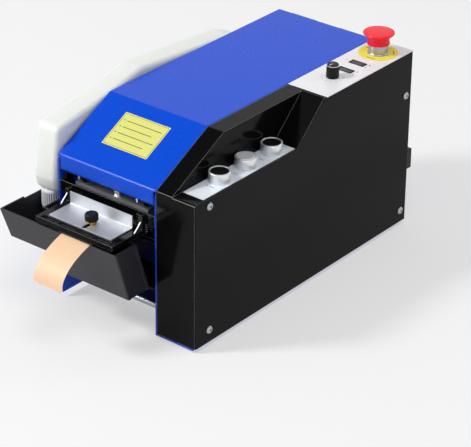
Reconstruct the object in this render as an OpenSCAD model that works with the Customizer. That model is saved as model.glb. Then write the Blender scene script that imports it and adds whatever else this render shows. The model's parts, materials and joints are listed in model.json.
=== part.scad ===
// Electric dispenser for gummed paper tape.
// Blue tape bay with a hinged lid, black electronics housing on the +X side,
// water tray and brushes in front, water bottle along the -X side.
// X is across the machine, Y runs from the front (-Y) to the back (+Y), Z is up.

/* [Body] */
// Width of the tape bay, over its two side plates
bay_w = 158; // [150:1:175]
// Width of the electronics housing
housing_w = 62; // [58:1:80]
// Length of the machine's body
body_l = 442; // [430:1:480]
// Height of the body above the underside of its sheet metal
body_h = 250; // [240:1:270]
// Height of the front fold of the lid
shoulder_h = 200; // [192:1:205]
// Distance of the upper fold of the lid from the front
knee_y = 97; // [90:1:110]
// Thickness of the sheet metal
sheet = 2; // [1.5:0.1:2.5]
// Inner radius of a sheet metal bend
bend_r = 2; // [1:0.5:3]
// Height of the lid's front lip
lip_h = 20; // [14:1:24]
// Height of the rubber feet
foot_h = 3; // [2:0.5:8]
// Diameter of the rubber feet
foot_d = 18; // [14:1:22]

/* [Control recess] */
// Width of the raised strip beside the lid
strip_w = 25; // [20:1:30]
// Distance of the recess floor's back edge from the front
recess_y = 198; // [190:1:205]
// Distance of the upper edge of the recess's back wall from the front
recess_top_y = 251; // [240:1:258]
// How far the side panel stands above the recess floor
panel_rise = 1.8; // [0.5:0.1:3]
// Thickness of the side panel
panel_t = 2; // [1.5:0.1:3]
// Height of the side panel's lower edge
panel_z = 3; // [2:0.5:6]

/* [Push buttons] */
// Outer diameter of a button's ring
ring_d = 28; // [26:0.5:30]
// Height of a button's ring above its label plate
ring_h = 13.5; // [10:0.5:16]
// Diameter of a button's cap
button_d = 23; // [20:0.5:24]
// Travel of a button
button_travel = 3; // [2:0.5:4]
// Distance between the buttons
button_pitch = 50.5; // [46:0.5:52]
// Distance of the first button from the front
button_y = 70.5; // [66:0.5:76]
// Thickness of the label plate under the buttons
label_t = 0.6; // [0.4:0.1:1]

/* [Controls on top] */
// Distance of the control plate's front edge from the front
plate_y = 256; // [252:1:266]
// Thickness of the control plate
plate_t = 1; // [0.8:0.1:2]
// Diameter of the length knob
knob_d = 16.5; // [14:0.5:20]
// Height of the length knob
knob_h = 18; // [14:0.5:22]
// Distance of the length knob from the control plate's front edge
knob_in = 52; // [44:1:58]
// Length of a rocker switch's opening
rocker_l = 21; // [18:0.5:24]
// Width of a rocker switch's opening
rocker_w = 8.5; // [7:0.5:10]
// Diameter of the stop button's mushroom head
stop_d = 42; // [38:1:46]
// Diameter of the stop button's neck
stop_neck_d = 30; // [28:0.5:32]
// Diameter of the stop button's fixed collar
stop_collar_d = 25.5; // [22:0.5:26]
// Distance of the stop button from the back
stop_back = 35; // [30:1:42]
// Travel of the stop button
stop_travel = 4; // [2:0.5:5]

/* [Tape] */
// Width of the tape
tape_w = 46; // [40:1:60]
// Thickness of the tape
tape_t = 0.4; // [0.3:0.1:0.6]
// How far the tape's path lies below the body's shoulder
tape_drop = 64; // [62:0.5:66]
// Middle of the tape across the machine
tape_x = 84; // [80:1:88]
// Diameter of the tape roll
roll_d = 180; // [120:5:184]
// Diameter of the tape roll's core
core_d = 40; // [30:1:60]
// Distance of the roll's axis from the back
roll_back = 122; // [117:1:127]
// Diameter of the two cradle rollers
cradle_roller_d = 16; // [12:1:20]
// Distance between the two cradle rollers
cradle_gap = 100; // [90:1:110]

/* [Drive] */
// Diameter of the rubber feed roller
feed_d = 30; // [24:1:34]
// Diameter of the pressure roller
press_d = 20; // [16:1:22]
// Distance of the feed roller from the front
feed_y = 70; // [66:1:74]
// Diameter of the drive shafts
shaft_d = 8; // [6:0.5:10]
// Diameter of the motor
motor_d = 48; // [40:1:52]
// Length of the motor
motor_l = 38; // [30:1:39]
// Distance of the motor's shaft from the front
motor_y = 135; // [130:1:140]
// Height of the motor's shaft
motor_z = 58; // [52:1:64]
// Pitch diameter of the feed roller's pulley
feed_pulley_d = 36; // [30:1:40]
// Pitch diameter of the motor's pulley
motor_pulley_d = 18; // [14:1:22]
// Thickness of the drive belt
belt_t = 2; // [1.5:0.5:3]
// Width of the drive belt
belt_w = 7; // [5:1:8]

/* [Cutter] */
// Length of the cutter blades
blade_l = 90; // [75:1:95]
// Thickness of the cutter blades
blade_t = 3; // [2:0.5:4]
// Stroke of the moving blade
blade_stroke = 6; // [4:0.5:7]
// Distance of the cutting line from the front
cut_y = 26; // [24:0.5:28]
// Diameter of the guide posts
post_d = 6; // [5:0.5:8]
// Distance between the guide posts
post_gap = 100; // [96:1:110]

/* [Water tray] */
// How far the tray's rim stands in front of the body
tray_out = 62.5; // [60:0.5:66]
// How far the tray's rim lies below the tape's path
rim_drop = 1; // [0.7:0.1:2.5]
// Depth of the tray's deep part
tray_deep = 71; // [64:1:75]
// Depth of the tray's side wing
wing_deep = 43; // [40:1:50]
// How far the front of the deep part leans back over its depth
tray_lean = 22.5; // [16:0.5:26]
// Distance from the front wall to the back wall of the deep part
tray_w = 38; // [34:0.5:38]
// Thickness of the tray's walls
tray_t = 2; // [1.6:0.1:2.5]
// How far the wing stands out beside the body
wing_out = 42; // [40:1:48]
// How far the wing reaches back beside the body
wing_back = 28; // [26:1:34]
// Right end of the deep part
tray_right = 147.5; // [146:0.5:149]
// Left end of the deep part
tray_left = 34; // [30:1:38]
// How far the tray slides out
tray_travel = 70; // [40:5:90]

/* [Water bottle] */
// Thickness of the bottle across the machine
bottle_w = 35; // [30:1:36]
// Length of the bottle
bottle_l = 376; // [340:1:380]
// Wall of the bottle
bottle_t = 1.6; // [1.2:0.1:2.5]
// Gap between the bottle and the body
bottle_gap = 3.5; // [2:0.5:6]
// Diameter of the bottle's ribbed cap
cap_d = 28; // [24:0.5:30]
// Height of the bottle's ribbed cap
cap_h = 25; // [20:0.5:26]
// How far the bottle lifts out
bottle_lift = 60; // [40:5:80]

/* [Feed plate] */
// Width of the polished feed plate
feed_plate_w = 101; // [90:1:104]
// Depth of the polished feed plate
feed_plate_l = 40; // [36:1:42]
// Height of the feed plate's upright back edge
feed_plate_h = 18; // [12:0.5:18]
// Thickness of the feed plate
feed_plate_t = 1.5; // [1:0.1:2]
// Diameter of the thumb screw's knob
thumb_d = 17; // [14:0.5:20]
// Height of the thumb screw's knob
thumb_h = 9.5; // [8:0.5:12]
// How far the feed plate can be pushed in
feed_plate_travel = 5; // [3:0.5:6]

/* [Fits] */
// Gap between parts that move past each other
gap = 0.3; // [0.2:0.05:0.4]
// Radial gap of a shaft in its bearing
run = 0.05; // [0.03:0.01:0.1]
// Radial gap of a screw or barrel in its hole
slack = 0.2; // [0.1:0.05:0.3]

/* [Hidden] */
$fn = 48;

// Outer width and the planes of the side plates
body_w = bay_w + housing_w;
bay_in = sheet;
bay_out = bay_w - sheet;
panel_in = body_w - panel_t;
strip_x = bay_w + strip_w;
// Slope of the lid's front
slope = (body_h - shoulder_h) / knee_y;
tape_z = shoulder_h - tape_drop;
rim_z = tape_z - rim_drop;
roll_y = body_l - roll_back;
knob_y = plate_y + knob_in;
stop_y = body_l - stop_back;
// The rocker switches stand between the knob and the stop button
rocker_y = knob_y + (stop_y - knob_y) * 5 / 18;
rocker_pitch = (stop_y - knob_y) * 3 / 11;
slope_a = atan(slope);
// Base plate of the tape bay
base_y = 45;
base_z = 8;
base_top = base_z + sheet;
// The object's box, which places the origin at the middle of its underside
screw_head_h = 3;
inlet_out = 14;
tongue_end_y = tray_out + 51.3;
x_low = -wing_out;
x_high = body_w + screw_head_h;
y_low = -tongue_end_y;
y_high = body_l + inlet_out;
origin = [(x_low + x_high) / 2, (y_low + y_high) / 2, -foot_h];

module place() translate(-origin) children();

// Box between two corners
module block(x, y, z) translate([x[0], y[0], z[0]]) cube([x[1] - x[0], y[1] - y[0], z[1] - z[0]]);
// Outline in Y and Z, pushed along X
module along_x(x) translate([x[0], 0, 0]) rotate([90, 0, 90]) linear_extrude(x[1] - x[0]) children();
// Outline in X and Z, pushed along Y
module along_y(y) translate([0, y[1], 0]) rotate([90, 0, 0]) linear_extrude(y[1] - y[0]) children();
// Rods along each axis
module rod_x(x, y, z, d) translate([x[0], y, z]) rotate([0, 90, 0]) cylinder(h = x[1] - x[0], d = d);
module rod_y(x, y, z, d) translate([x, y[1], z]) rotate([90, 0, 0]) cylinder(h = y[1] - y[0], d = d);
module rod_z(x, y, z, d) translate([x, y, z[0]]) cylinder(h = z[1] - z[0], d = d);

// Paths with round corners, for bent sheet metal and tape
function unit(v) = v / norm(v);
function left_of(v) = [-v[1], v[0]];
function turns_left(a, p, b) = (p - a)[0] * (b - p)[1] - (p - a)[1] * (b - p)[0] > 0;
function arc_between(c, s, e, g, steps) =
    [for (k = [0:steps]) c + (sin(g * (1 - k / steps)) * s + sin(g * k / steps) * e) / sin(g)];
function corner(a, p, b, r) =
    let (u = unit(a - p), v = unit(b - p), half = acos(u * v) / 2, d = r / tan(half))
    let (c = p + unit(u + v) * r / sin(half), g = 180 - 2 * half)
    arc_between(c, p + u * d - c, p + v * d - c, g, max(3, round(g / 9)));
function rounded(p, r) = [
    for (i = [0:len(p) - 1])
        each (i == 0 || i == len(p) - 1) ? [p[i]] : corner(p[i - 1], p[i], p[i + 1], r[i])];
function shifted(p, t) = [
    for (i = [0:len(p) - 1])
        let (a = i > 0 ? unit(p[i] - p[i - 1]) : unit(p[1] - p[0]))
        let (b = i < len(p) - 1 ? unit(p[i + 1] - p[i]) : a, n = left_of(a), m = left_of(b))
        p[i] + t * (n + m) / (1 + n * m)];
function reversed(p) = [for (i = [len(p) - 1:-1:0]) p[i]];
// Sheet of thickness t on the left of path p (on its right if t is negative), inner bend radius r
function bent(p, t, r) =
    let (inward = [for (i = [0:len(p) - 1])
        i > 0 && i < len(p) - 1 && turns_left(p[i - 1], p[i], p[i + 1]) == (t > 0)])
    concat(rounded(p, [for (l = inward) l ? r + abs(t) : r]),
        reversed(rounded(shifted(p, t), [for (l = inward) l ? r : r + abs(t)])));

// Coil spring along Z, swept as one tube
module coil(d, wire, h, turns) {
    sides = 6;
    ring = 14;
    n = turns * ring;
    pts = [for (i = [0:n], j = [0:sides - 1])
        let (a = 360 * i / ring, b = 360 * j / sides, r = (d - wire) / 2 + wire / 2 * cos(b))
        [r * cos(a), r * sin(a), wire / 2 + (h - wire) * i / n + wire / 2 * sin(b)]];
    sides_faces = [for (i = [0:n - 1], j = [0:sides - 1])
        let (k = (j + 1) % sides)
        [i * sides + j, i * sides + k, (i + 1) * sides + k, (i + 1) * sides + j]];
    ends = [[for (j = [sides - 1:-1:0]) j], [for (j = [0:sides - 1]) n * sides + j]];
    polyhedron(pts, concat([for (f = sides_faces) reversed(f)], [for (f = ends) reversed(f)]), convexity = 8);
}

// Outline of the lid's outer face, from the back to the lip
lid_path = [[body_l - 0.5, body_h], [knee_y, body_h], [0, shoulder_h], [0, shoulder_h - lip_h]];
// Outline of a side plate, which stays under the lid
plate_top = body_h - sheet - gap;
side_drop = (sheet + gap) / cos(slope_a);
side_outline = [[0, 0], [body_l, 0], [body_l, plate_top], [knee_y + (plate_top - body_h + side_drop) / slope, plate_top],
    [6, shoulder_h - side_drop + 6 * slope], [0, shoulder_h - side_drop - 5]];

/* ---- casing ---- */

// Base plate of the bay: front lip, floor and two upturned flanges
base_flange_h = 14;
module base_plate() place() color("gainsboro") {
    along_x([bay_in, bay_out])
        polygon(bent([[body_l - sheet, base_top], [base_y, base_top], [base_y, base_z - 5]], sheet, bend_r));
    for (x = [bay_in, bay_out - sheet])
        block([x, x + sheet], [base_y + 20, body_l - sheet], [base_top, base_top + base_flange_h]);
}

foot_inset_y = 22;
// The left flange and its foot start behind the tray
flange_y = 45;
foot_front_y = flange_y + 15;
foot_hole_d = 6;
foot_ys = [foot_front_y, body_l - foot_inset_y];
foot_left_x = 12;
foot_right_x = body_w - 16;
flange_w = 24;
shaft_z = tape_z - gap - feed_d / 2;
bush_d = 14;
guide_rod_y = 150;
guide_rod_d = 8;
web_slack = 1;
arm_pivot_y = feed_y + 42;
arm_pivot_z = tape_z + 29;
arm_rod_d = 6;
cradle_pin_d = 6;

// Holes through a side plate for the shaft's bush and the two cross rods
module side_holes(x) {
    rod_x(x, feed_y, shaft_z, bush_d + 2 * slack);
    rod_x(x, arm_pivot_y, arm_pivot_z, arm_rod_d + 2 * slack);
    rod_x(x, guide_rod_y, guide_rod_z, 5 + 2 * slack);
}

module left_side_plate() place() color("royalblue") difference() {
    union() {
        intersection() {
            along_x([0, sheet]) polygon(side_outline);
            block([-1, bay_w], [-1, body_l + 1], [bend_r + sheet, body_h]);
        }
        along_y([flange_y, body_l]) polygon(bent([[0, 12], [0, 0], [flange_w, 0]], sheet, bend_r));
    }
    side_holes([-1, sheet + 1]);
    for (y = foot_ys) rod_z(foot_left_x, y, [-1, sheet + 1], foot_hole_d + 2 * slack);
}

// Blue channel under the housing: side plate of the bay, floor and a low outer flange
chassis_flange_h = 30;
module housing_chassis() place() color("royalblue") difference() {
    union() {
        along_x([bay_out, bay_w]) polygon(side_outline);
        along_y([0, body_l]) polygon(bent([[bay_out, 12], [bay_out, 0], [panel_in - gap, 0],
            [panel_in - gap, chassis_flange_h]], sheet, bend_r));
    }
    // The flange stops short of the cover's front and back walls
    for (y = [[-1, sheet + gap], [body_l - sheet - gap, body_l + 1]])
        block([panel_in - 9, panel_in + 1], y, [sheet + gap, chassis_flange_h + 1]);
    side_holes([bay_out - 1, bay_w + 1]);
    for (y = foot_ys) rod_z(foot_right_x, y, [-1, sheet + 1], foot_hole_d + 2 * slack);
    for (y = panel_screw_y) rod_x([panel_in - 6, panel_in], y, panel_screw_low, screw_d + 2 * slack);
}

// Back wall of the tape bay
module rear_panel() place() color("royalblue")
    block([bay_in, bay_out], [body_l - sheet, body_l], [base_z, plate_top - 1.2]);

// Black bent cover of the electronics housing
cover_z = sheet + 0.5;
strip_path = [[body_l, body_h], [knee_y, body_h], [0, shoulder_h], [0, cover_z]];
recess_path = [[body_l, body_h], [recess_top_y, body_h], [recess_y, shoulder_h], [0, shoulder_h], [0, cover_z]];
button_x = (strip_x + body_w) / 2 - 3;
button_ys = [for (i = [0:2]) button_y + i * button_pitch];
barrel_d = 22;
knob_x = bay_w + 31;
rocker_ys = [rocker_y, rocker_y + rocker_pitch];
stem_d = 12;
inlet_w = 24;
inlet_h = 28;
inlet_x = body_w - panel_t - gap - inlet_w / 2 - 1;
inlet_z = 89;
fuse_d = 12;
fuse_x = bay_w + 16;
panel_screw_y = [25, body_l - 13];
panel_screw_low = 21;
panel_screw_high = shoulder_h - 9;
screw_d = 5;
pot_d = 16;
pot_bush_d = 9;

module housing_cover() place() color("#2a2a2c") difference() {
    union() {
        along_x([bay_w + gap, strip_x]) polygon(bent(strip_path, sheet, bend_r));
        along_x([strip_x - sheet, panel_in]) polygon(bent(recess_path, sheet, bend_r));
        along_x([strip_x - sheet, strip_x]) polygon([[bend_r, shoulder_h - 1], [recess_y, shoulder_h - 1],
            [recess_top_y, body_h - 1], [knee_y, body_h - 1]]);
        block([bay_w + gap, panel_in], [body_l - sheet, body_l], [cover_z, body_h - 1]);
        for (y = [[sheet - 0.1, panel_screw_y[0] + 7], [panel_screw_y[1] - 7, body_l - sheet + 0.1]])
            block([panel_in - 8, panel_in], y, [panel_screw_high - 8, shoulder_h - sheet + 0.1]);
    }
    for (y = button_ys) rod_z(button_x, y, [shoulder_h - sheet - 1, shoulder_h + 1], barrel_d + 2 * slack);
    rod_z(knob_x, knob_y, [body_h - sheet - 1, body_h + 1], pot_bush_d + 2 * slack);
    for (y = rocker_ys) block([knob_x - rocker_l / 2, knob_x + rocker_l / 2],
        [y - rocker_w / 2, y + rocker_w / 2], [body_h - sheet - 1, body_h + 1]);
    rod_z(knob_x, stop_y, [body_h - sheet - 1, body_h + 1], barrel_d + 2 * slack);
    block([inlet_x - inlet_w / 2 + 1, inlet_x + inlet_w / 2 - 1], [body_l - sheet - 1, body_l + 1],
        [inlet_z - inlet_h / 2 + 1, inlet_z + inlet_h / 2 - 1]);
    rod_y(fuse_x, [body_l - sheet - 1, body_l + 1], inlet_z, fuse_d + 2 * slack);
    for (y = panel_screw_y) rod_x([panel_in - 9, body_w], y, panel_screw_high, screw_d + 2 * slack);
}

// Black side panel, which follows the recess
module housing_side_panel() place() color("#2f2f31") difference() {
    along_x([panel_in, body_w]) polygon([[1, panel_z], [body_l - 0.5, panel_z], [body_l - 0.5, body_h],
        [recess_top_y + 1, body_h], [recess_y + 1.5, shoulder_h + panel_rise], [1, shoulder_h + panel_rise]]);
    for (y = panel_screw_y, z = [panel_screw_low, panel_screw_high])
        rod_x([panel_in - 1, body_w + 1], y, z, screw_d + 2 * slack);
}

module panel_screws() place() color("silver")
    for (y = panel_screw_y, z = [panel_screw_low, panel_screw_high]) difference() {
        union() {
            rod_x([body_w - panel_t - 5, body_w], y, z, screw_d);
            translate([body_w, y, z]) rotate([0, 90, 0]) rotate_extrude()
                polygon([[0, 0], [5, 0], [5, 1.2], [4.2, 2.3], [2.6, screw_head_h], [0, screw_head_h]]);
        }
        rod_x([body_w + 1.2, body_w + screw_head_h + 1], y, z, 3.4, $fn = 6);
    }

module feet() place() color("#1c1c1c")
    for (p = [[foot_left_x, 0], [foot_right_x, 0]], y = foot_ys) {
        rod_z(p[0], y, [-foot_h, 0], foot_d);
        rod_z(p[0], y, [-0.5, sheet], foot_hole_d);
    }

// White plate over the back of the housing
module control_plate() place() color("whitesmoke") difference() {
    block([bay_w + gap, body_w], [plate_y, body_l], [body_h, body_h + plate_t]);
    rod_z(knob_x, knob_y, [body_h - 1, body_h + plate_t + 1], pot_bush_d + 2 * slack);
    for (y = rocker_ys) block([knob_x - rocker_l / 2, knob_x + rocker_l / 2],
        [y - rocker_w / 2, y + rocker_w / 2], [body_h - 1, body_h + plate_t + 1]);
    rod_z(knob_x, stop_y, [body_h - 1, body_h + plate_t + 1], barrel_d + 2 * slack);
}

label_y = [19, recess_y - 1.5];
label_x = [strip_x + 1.5, body_w - 4];
module button_label_plate() place() color("whitesmoke") difference() {
    block(label_x, label_y, [shoulder_h, shoulder_h + label_t]);
    for (y = button_ys) rod_z(button_x, y, [shoulder_h - 1, shoulder_h + 2], barrel_d + 2 * slack);
}

/* ---- lid ---- */

lip_inset = 4;
module lid() place() color("royalblue") {
    difference() {
        along_x([0, bay_w]) polygon(bent(lid_path, sheet, bend_r));
        for (x = [[-1, lip_inset], [bay_w - lip_inset, bay_w + 1]])
            block(x, [-1, sheet + 0.4], [shoulder_h - lip_h - 1, shoulder_h - 2]);
    }
    // Stiffening flanges under the lid, clear of the side plates
    for (x = [bay_in + 1, bay_out - 1 - sheet])
        along_x([x, x + sheet]) polygon([[knee_y, body_h - sheet], [body_l - 40, body_h - sheet],
            [body_l - 40, body_h - 9], [knee_y + 8, body_h - 9]]);
}

// Butt hinges behind the back wall
hinge_z = body_h - sheet - 2.2;
hinge_y = body_l + 3.2;
hinge_r = 2.5;
hinge_pin_d = 2.6;
leaf_t = 1.2;
leaf_l = 40;
hinge_xs = [bay_w / 4 - leaf_l / 2, bay_w * 3 / 4 - leaf_l / 2];
knuckles = 5;
knuckle_l = leaf_l / knuckles;
module knuckle(x, i) difference() {
    rod_x([x + i * knuckle_l + 0.15, x + (i + 1) * knuckle_l - 0.15], hinge_y, hinge_z, 2 * hinge_r);
    rod_x([x - 1, x + leaf_l + 1], hinge_y, hinge_z, hinge_pin_d + 2 * run);
}

module hinge_leaves() place() color("silver") for (x = hinge_xs) {
    rod_x([x - 1, x + leaf_l + 1], hinge_y, hinge_z, hinge_pin_d);
    difference() {
        union() {
            block([x, x + leaf_l], [body_l, body_l + leaf_t], [hinge_z - 20, hinge_z - hinge_r - 0.6]);
            for (i = [0:2:knuckles - 1]) block([x + i * knuckle_l + 0.15, x + (i + 1) * knuckle_l - 0.15],
                [body_l, body_l + leaf_t], [hinge_z - hinge_r - 0.7, hinge_z]);
        }
        rod_x([x - 1, x + leaf_l + 1], hinge_y, hinge_z, 2 * hinge_r - 0.4);
    }
    for (i = [0:2:knuckles - 1])
        rod_x([x + i * knuckle_l + 0.15, x + (i + 1) * knuckle_l - 0.15], hinge_y, hinge_z, 2 * hinge_r);
}

// Moving hinge leaves, and two small catches behind the lip
catch_xs = [bay_w / 2 - 47, bay_w / 2 + 47];
module lid_fittings() place() color("silver") {
    for (x = hinge_xs) {
        block([x, x + leaf_l], [body_l - 30, body_l - 0.2], [body_h - sheet - leaf_t, body_h - sheet]);
        for (i = [1:2:knuckles - 1]) {
            difference() {
                block([x + i * knuckle_l + 0.15, x + (i + 1) * knuckle_l - 0.15], [body_l - 0.3, hinge_y],
                    [body_h - sheet - leaf_t, body_h - sheet]);
                rod_x([x - 1, x + leaf_l + 1], hinge_y, hinge_z, 2 * hinge_r - 0.4);
            }
            knuckle(x, i);
        }
    }
    for (x = catch_xs)
        block([x - 1.5, x + 1.5], [sheet, sheet + 3], [shoulder_h - lip_h - 6, shoulder_h - 8]);
}

/* ---- push buttons ---- */

ring_z = shoulder_h + label_t;
barrel_l = 22;
plunger_d = 12;
nut_h = 4;
module button_rings() place() color("silver") for (y = button_ys) {
    difference() {
        union() {
            rod_z(button_x, y, [ring_z, ring_z + ring_h], ring_d);
            rod_z(button_x, y, [shoulder_h - barrel_l, ring_z + 0.1], barrel_d);
        }
        rod_z(button_x, y, [ring_z + 3, ring_z + ring_h + 1], button_d + 2 * slack);
        rod_z(button_x, y, [shoulder_h - barrel_l - 1, ring_z + 4], plunger_d + 2 * slack);
    }
    difference() {
        rod_z(button_x, y, [shoulder_h - sheet - nut_h, shoulder_h - sheet], barrel_d + 7, $fn = 6);
        rod_z(button_x, y, [shoulder_h - sheet - nut_h - 1, shoulder_h], barrel_d + 2 * slack);
    }
}

// Cap on its plunger; the cap stands proud by lift
module button_cap(y, lift) {
    rod_z(button_x, y, [ring_z + 3 + button_travel + 0.7, ring_z + ring_h + lift], button_d);
    rod_z(button_x, y, [shoulder_h - barrel_l + 3, ring_z + 3 + button_travel + 1], plunger_d);
}
module start_button() place() color("#202022") button_cap(button_ys[0], -0.6);
module repeat_button() place() color("silver") button_cap(button_ys[1], 0.6);
module reverse_button() place() color("#202022") button_cap(button_ys[2], -0.6);

module button_springs() place() color("silver") for (y = button_ys)
    translate([button_x, y, ring_z + 3]) coil(18, 0.6, button_travel + 0.7, 3);

/* ---- controls on top ---- */

plate_top_z = body_h + plate_t;
knob_z = plate_top_z + 0.5;
module length_knob() place() color("#232326") {
    rod_z(knob_x, knob_y, [knob_z, knob_z + knob_h - 2.6], knob_d);
    rod_z(knob_x, knob_y, [knob_z + knob_h - 2.6, knob_z + knob_h], knob_d - 1);
    rod_z(knob_x, knob_y, [body_h - 8, knob_z + 2], 6);
}

module potentiometer() place() color("dimgray") difference() {
    union() {
        rod_z(knob_x, knob_y, [body_h - sheet - 13, body_h - sheet], pot_d);
        rod_z(knob_x, knob_y, [body_h - sheet - 1, plate_top_z], pot_bush_d);
    }
    rod_z(knob_x, knob_y, [body_h - 8 - 0.5, body_h + plate_t + 1], 6 + 2 * run);
}

rocker_pivot_z = plate_top_z - 0.5;
module rocker(y) intersection() {
    rod_y(knob_x, [y - rocker_w / 2 + 1.3, y + rocker_w / 2 - 1.3], rocker_pivot_z, rocker_l - 3);
    block([knob_x - rocker_l / 2, knob_x + rocker_l / 2], [y - rocker_w / 2, y + rocker_w / 2],
        [rocker_pivot_z - 7, plate_top_z + 0.6]);
}
module rocker_front() place() color("#55555b") rocker(rocker_ys[0]);
module rocker_rear() place() color("#55555b") rocker(rocker_ys[1]);
module rocker_housings() place() color("#2a2a2c") for (y = rocker_ys) difference() {
    block([knob_x - rocker_l / 2 + slack, knob_x + rocker_l / 2 - slack],
        [y - rocker_w / 2 + slack, y + rocker_w / 2 - slack], [body_h - 16, plate_top_z]);
    rod_y(knob_x, [y - rocker_w / 2 + 1, y + rocker_w / 2 - 1], rocker_pivot_z, rocker_l - 3 + 2 * gap);
}

stop_collar_h = 14;
stop_z = plate_top_z;
module stop_collar() place() color("silver") difference() {
    union() {
        rod_z(knob_x, stop_y, [stop_z, stop_z + stop_collar_h], stop_collar_d);
        rod_z(knob_x, stop_y, [body_h - sheet - 6, stop_z + 0.1], barrel_d);
    }
    rod_z(knob_x, stop_y, [body_h - sheet - 7, stop_z + stop_collar_h + 1], stem_d + 2 * run);
}

// The stem slides; the head turns on it
stop_top = stop_z + 30;
neck_z = stop_z + stop_collar_h - 0.8;
neck_bore = stop_travel + 4;
stem_top = neck_z + neck_bore + 5;
module stop_stem() place() color("dimgray") {
    rod_z(knob_x, stop_y, [body_h - 24, stem_top], stem_d);
    rod_z(knob_x, stop_y, [body_h - 24, body_h - sheet - 12], stem_d + 4);
}

module stop_head() place() color("red") translate([knob_x, stop_y, 0]) rotate_extrude($fn = 72)
    polygon([[stop_collar_d / 2 + 0.4, neck_z], [stop_neck_d / 2, neck_z], [stop_neck_d / 2, stop_top - 8],
        [stop_d / 2 - 0.5, stop_top - 2.6], [stop_d / 2, stop_top - 1.8], [stop_d / 2 - 0.6, stop_top - 0.9],
        [stop_d / 3, stop_top - 0.2], [0, stop_top],
        [0, stem_top + gap], [stem_d / 2 + run, stem_top + gap], [stem_d / 2 + run, neck_z + neck_bore],
        [stop_collar_d / 2 + 0.4, neck_z + neck_bore]]);

module stop_contact_block() place() color("#3a3a3c") difference() {
    block([knob_x - 14, knob_x + 14], [stop_y - 16, stop_y + 16], [body_h - 42, body_h - sheet - 6]);
    rod_z(knob_x, stop_y, [body_h - 24 - stop_travel - 1, body_h], stem_d + 4 + 2 * slack);
}

/* ---- electrics ---- */

module power_inlet() place() color("#1e1e20") {
    difference() {
        union() {
            block([inlet_x - inlet_w / 2, inlet_x + inlet_w / 2], [body_l, body_l + inlet_out],
                [inlet_z - inlet_h / 2, inlet_z + inlet_h / 2]);
            block([inlet_x - inlet_w / 2 + 1 + slack, inlet_x + inlet_w / 2 - 1 - slack],
                [body_l - 20, body_l + 0.1], [inlet_z - inlet_h / 2 + 1 + slack, inlet_z + inlet_h / 2 - 1 - slack]);
        }
        block([inlet_x - 9, inlet_x + 9], [body_l - 4, body_l + inlet_out + 1], [inlet_z - 12, inlet_z + 12]);
    }
    for (z = [-7, 0, 7]) block([inlet_x - 2 + (z == 0 ? 4 : 0), inlet_x + 2 + (z == 0 ? 4 : 0)],
        [body_l - 24, body_l + inlet_out - 3], [inlet_z + z - 1, inlet_z + z + 1]);
}

module fuse_holder() place() color("#1e1e20") {
    rod_y(fuse_x, [body_l, body_l + 3], inlet_z, fuse_d + 4);
    rod_y(fuse_x, [body_l - 28, body_l + 0.1], inlet_z, fuse_d);
    rod_y(fuse_x, [body_l + 2.9, body_l + 7], inlet_z, fuse_d - 2);
}

board_y = [body_l - 257, body_l - 37];
board_z = [112, 196];
board_x = bay_w + 8;
module control_board() place() {
    color("darkgreen") block([board_x, board_x + 1.6], board_y, board_z);
    for (y = [board_y[0] + 6, board_y[1] - 6], z = [board_z[0] + 6, board_z[1] - 6])
        color("silver") rod_x([bay_w, board_x], y, z, 6, $fn = 6);
    color("#303034") block([board_x + 1.6, board_x + 26], [board_y[0] + 15, board_y[0] + 55], [125, 160]);
    for (y = [70, 87, 104]) color("#4a3a6a") rod_x([board_x + 1.6, board_x + 24], board_y[0] + y, 132, 12);
    for (y = [71, 99, 127]) color("steelblue")
        block([board_x + 1.6, board_x + 17], [board_y[0] + y, board_y[0] + y + 20], [160, 176]);
    color("whitesmoke") block([board_x + 1.6, board_x + 11], [board_y[0] + 150, board_y[0] + 210], [178, 188]);
    color("#202022") block([board_x + 1.6, board_x + 5], [board_y[0] + 137, board_y[0] + 161], [130, 154]);
    color("silver") for (i = [0:4])
        block([board_x + 1.6, board_x + 20], [board_y[0] + 175 + i * 7, board_y[0] + 177 + i * 7], [122, 158]);
}

module power_supply() place() color("gainsboro") {
    block([bay_w + 12, panel_in - 6], [200, 292], [sheet, 8]);
    color("#8a5a2b") block([bay_w + 16, panel_in - 10], [222, 270], [14, 60]);
    color("dimgray") block([bay_w + 20, panel_in - 14], [208, 284], [8, 66]);
}

/* ---- tape and its path ---- */

roll_x = [tape_x - tape_w / 2, tape_x + tape_w / 2];
cradle_z = base_top + 12;
roll_z = cradle_z + sqrt(pow((roll_d + cradle_roller_d) / 2 + gap, 2) - pow(cradle_gap / 2, 2));

module tape_roll() place() color("burlywood") difference() {
    rod_x(roll_x, roll_y, roll_z, roll_d, $fn = 96);
    rod_x([roll_x[0] - 1, roll_x[1] + 1], roll_y, roll_z, core_d);
}
module tape_core() place() color("tan") difference() {
    rod_x(roll_x, roll_y, roll_z, core_d);
    rod_x([roll_x[0] - 1, roll_x[1] + 1], roll_y, roll_z, core_d - 6);
}

// Bent cradle on the base plate, with side guides that keep the roll in line
cradle_x = [roll_x[0] - 8, roll_x[1] + 8];
cradle_ys = [roll_y - cradle_gap / 2, roll_y + cradle_gap / 2];
guide_gap = 1;
module roll_cradle() place() color("dimgray") difference() {
    union() {
        block([cradle_x[0] - 2, cradle_x[1] + 2], [cradle_ys[0] - 12, cradle_ys[1] + 12], [base_top, base_top + 2]);
        for (x = [cradle_x[0] - 2, cradle_x[1]])
            block([x, x + 2], [cradle_ys[0] - 12, cradle_ys[1] + 12], [base_top, cradle_z + 10]);
        for (x = [roll_x[0] - guide_gap - 2, roll_x[1] + guide_gap])
            block([x, x + 2], [roll_y - 30, roll_y + 30], [base_top, base_top + 62]);
    }
    for (y = cradle_ys) rod_x([cradle_x[0] - 3, cradle_x[1] + 3], y, cradle_z, cradle_pin_d + 2 * run);
}

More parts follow.
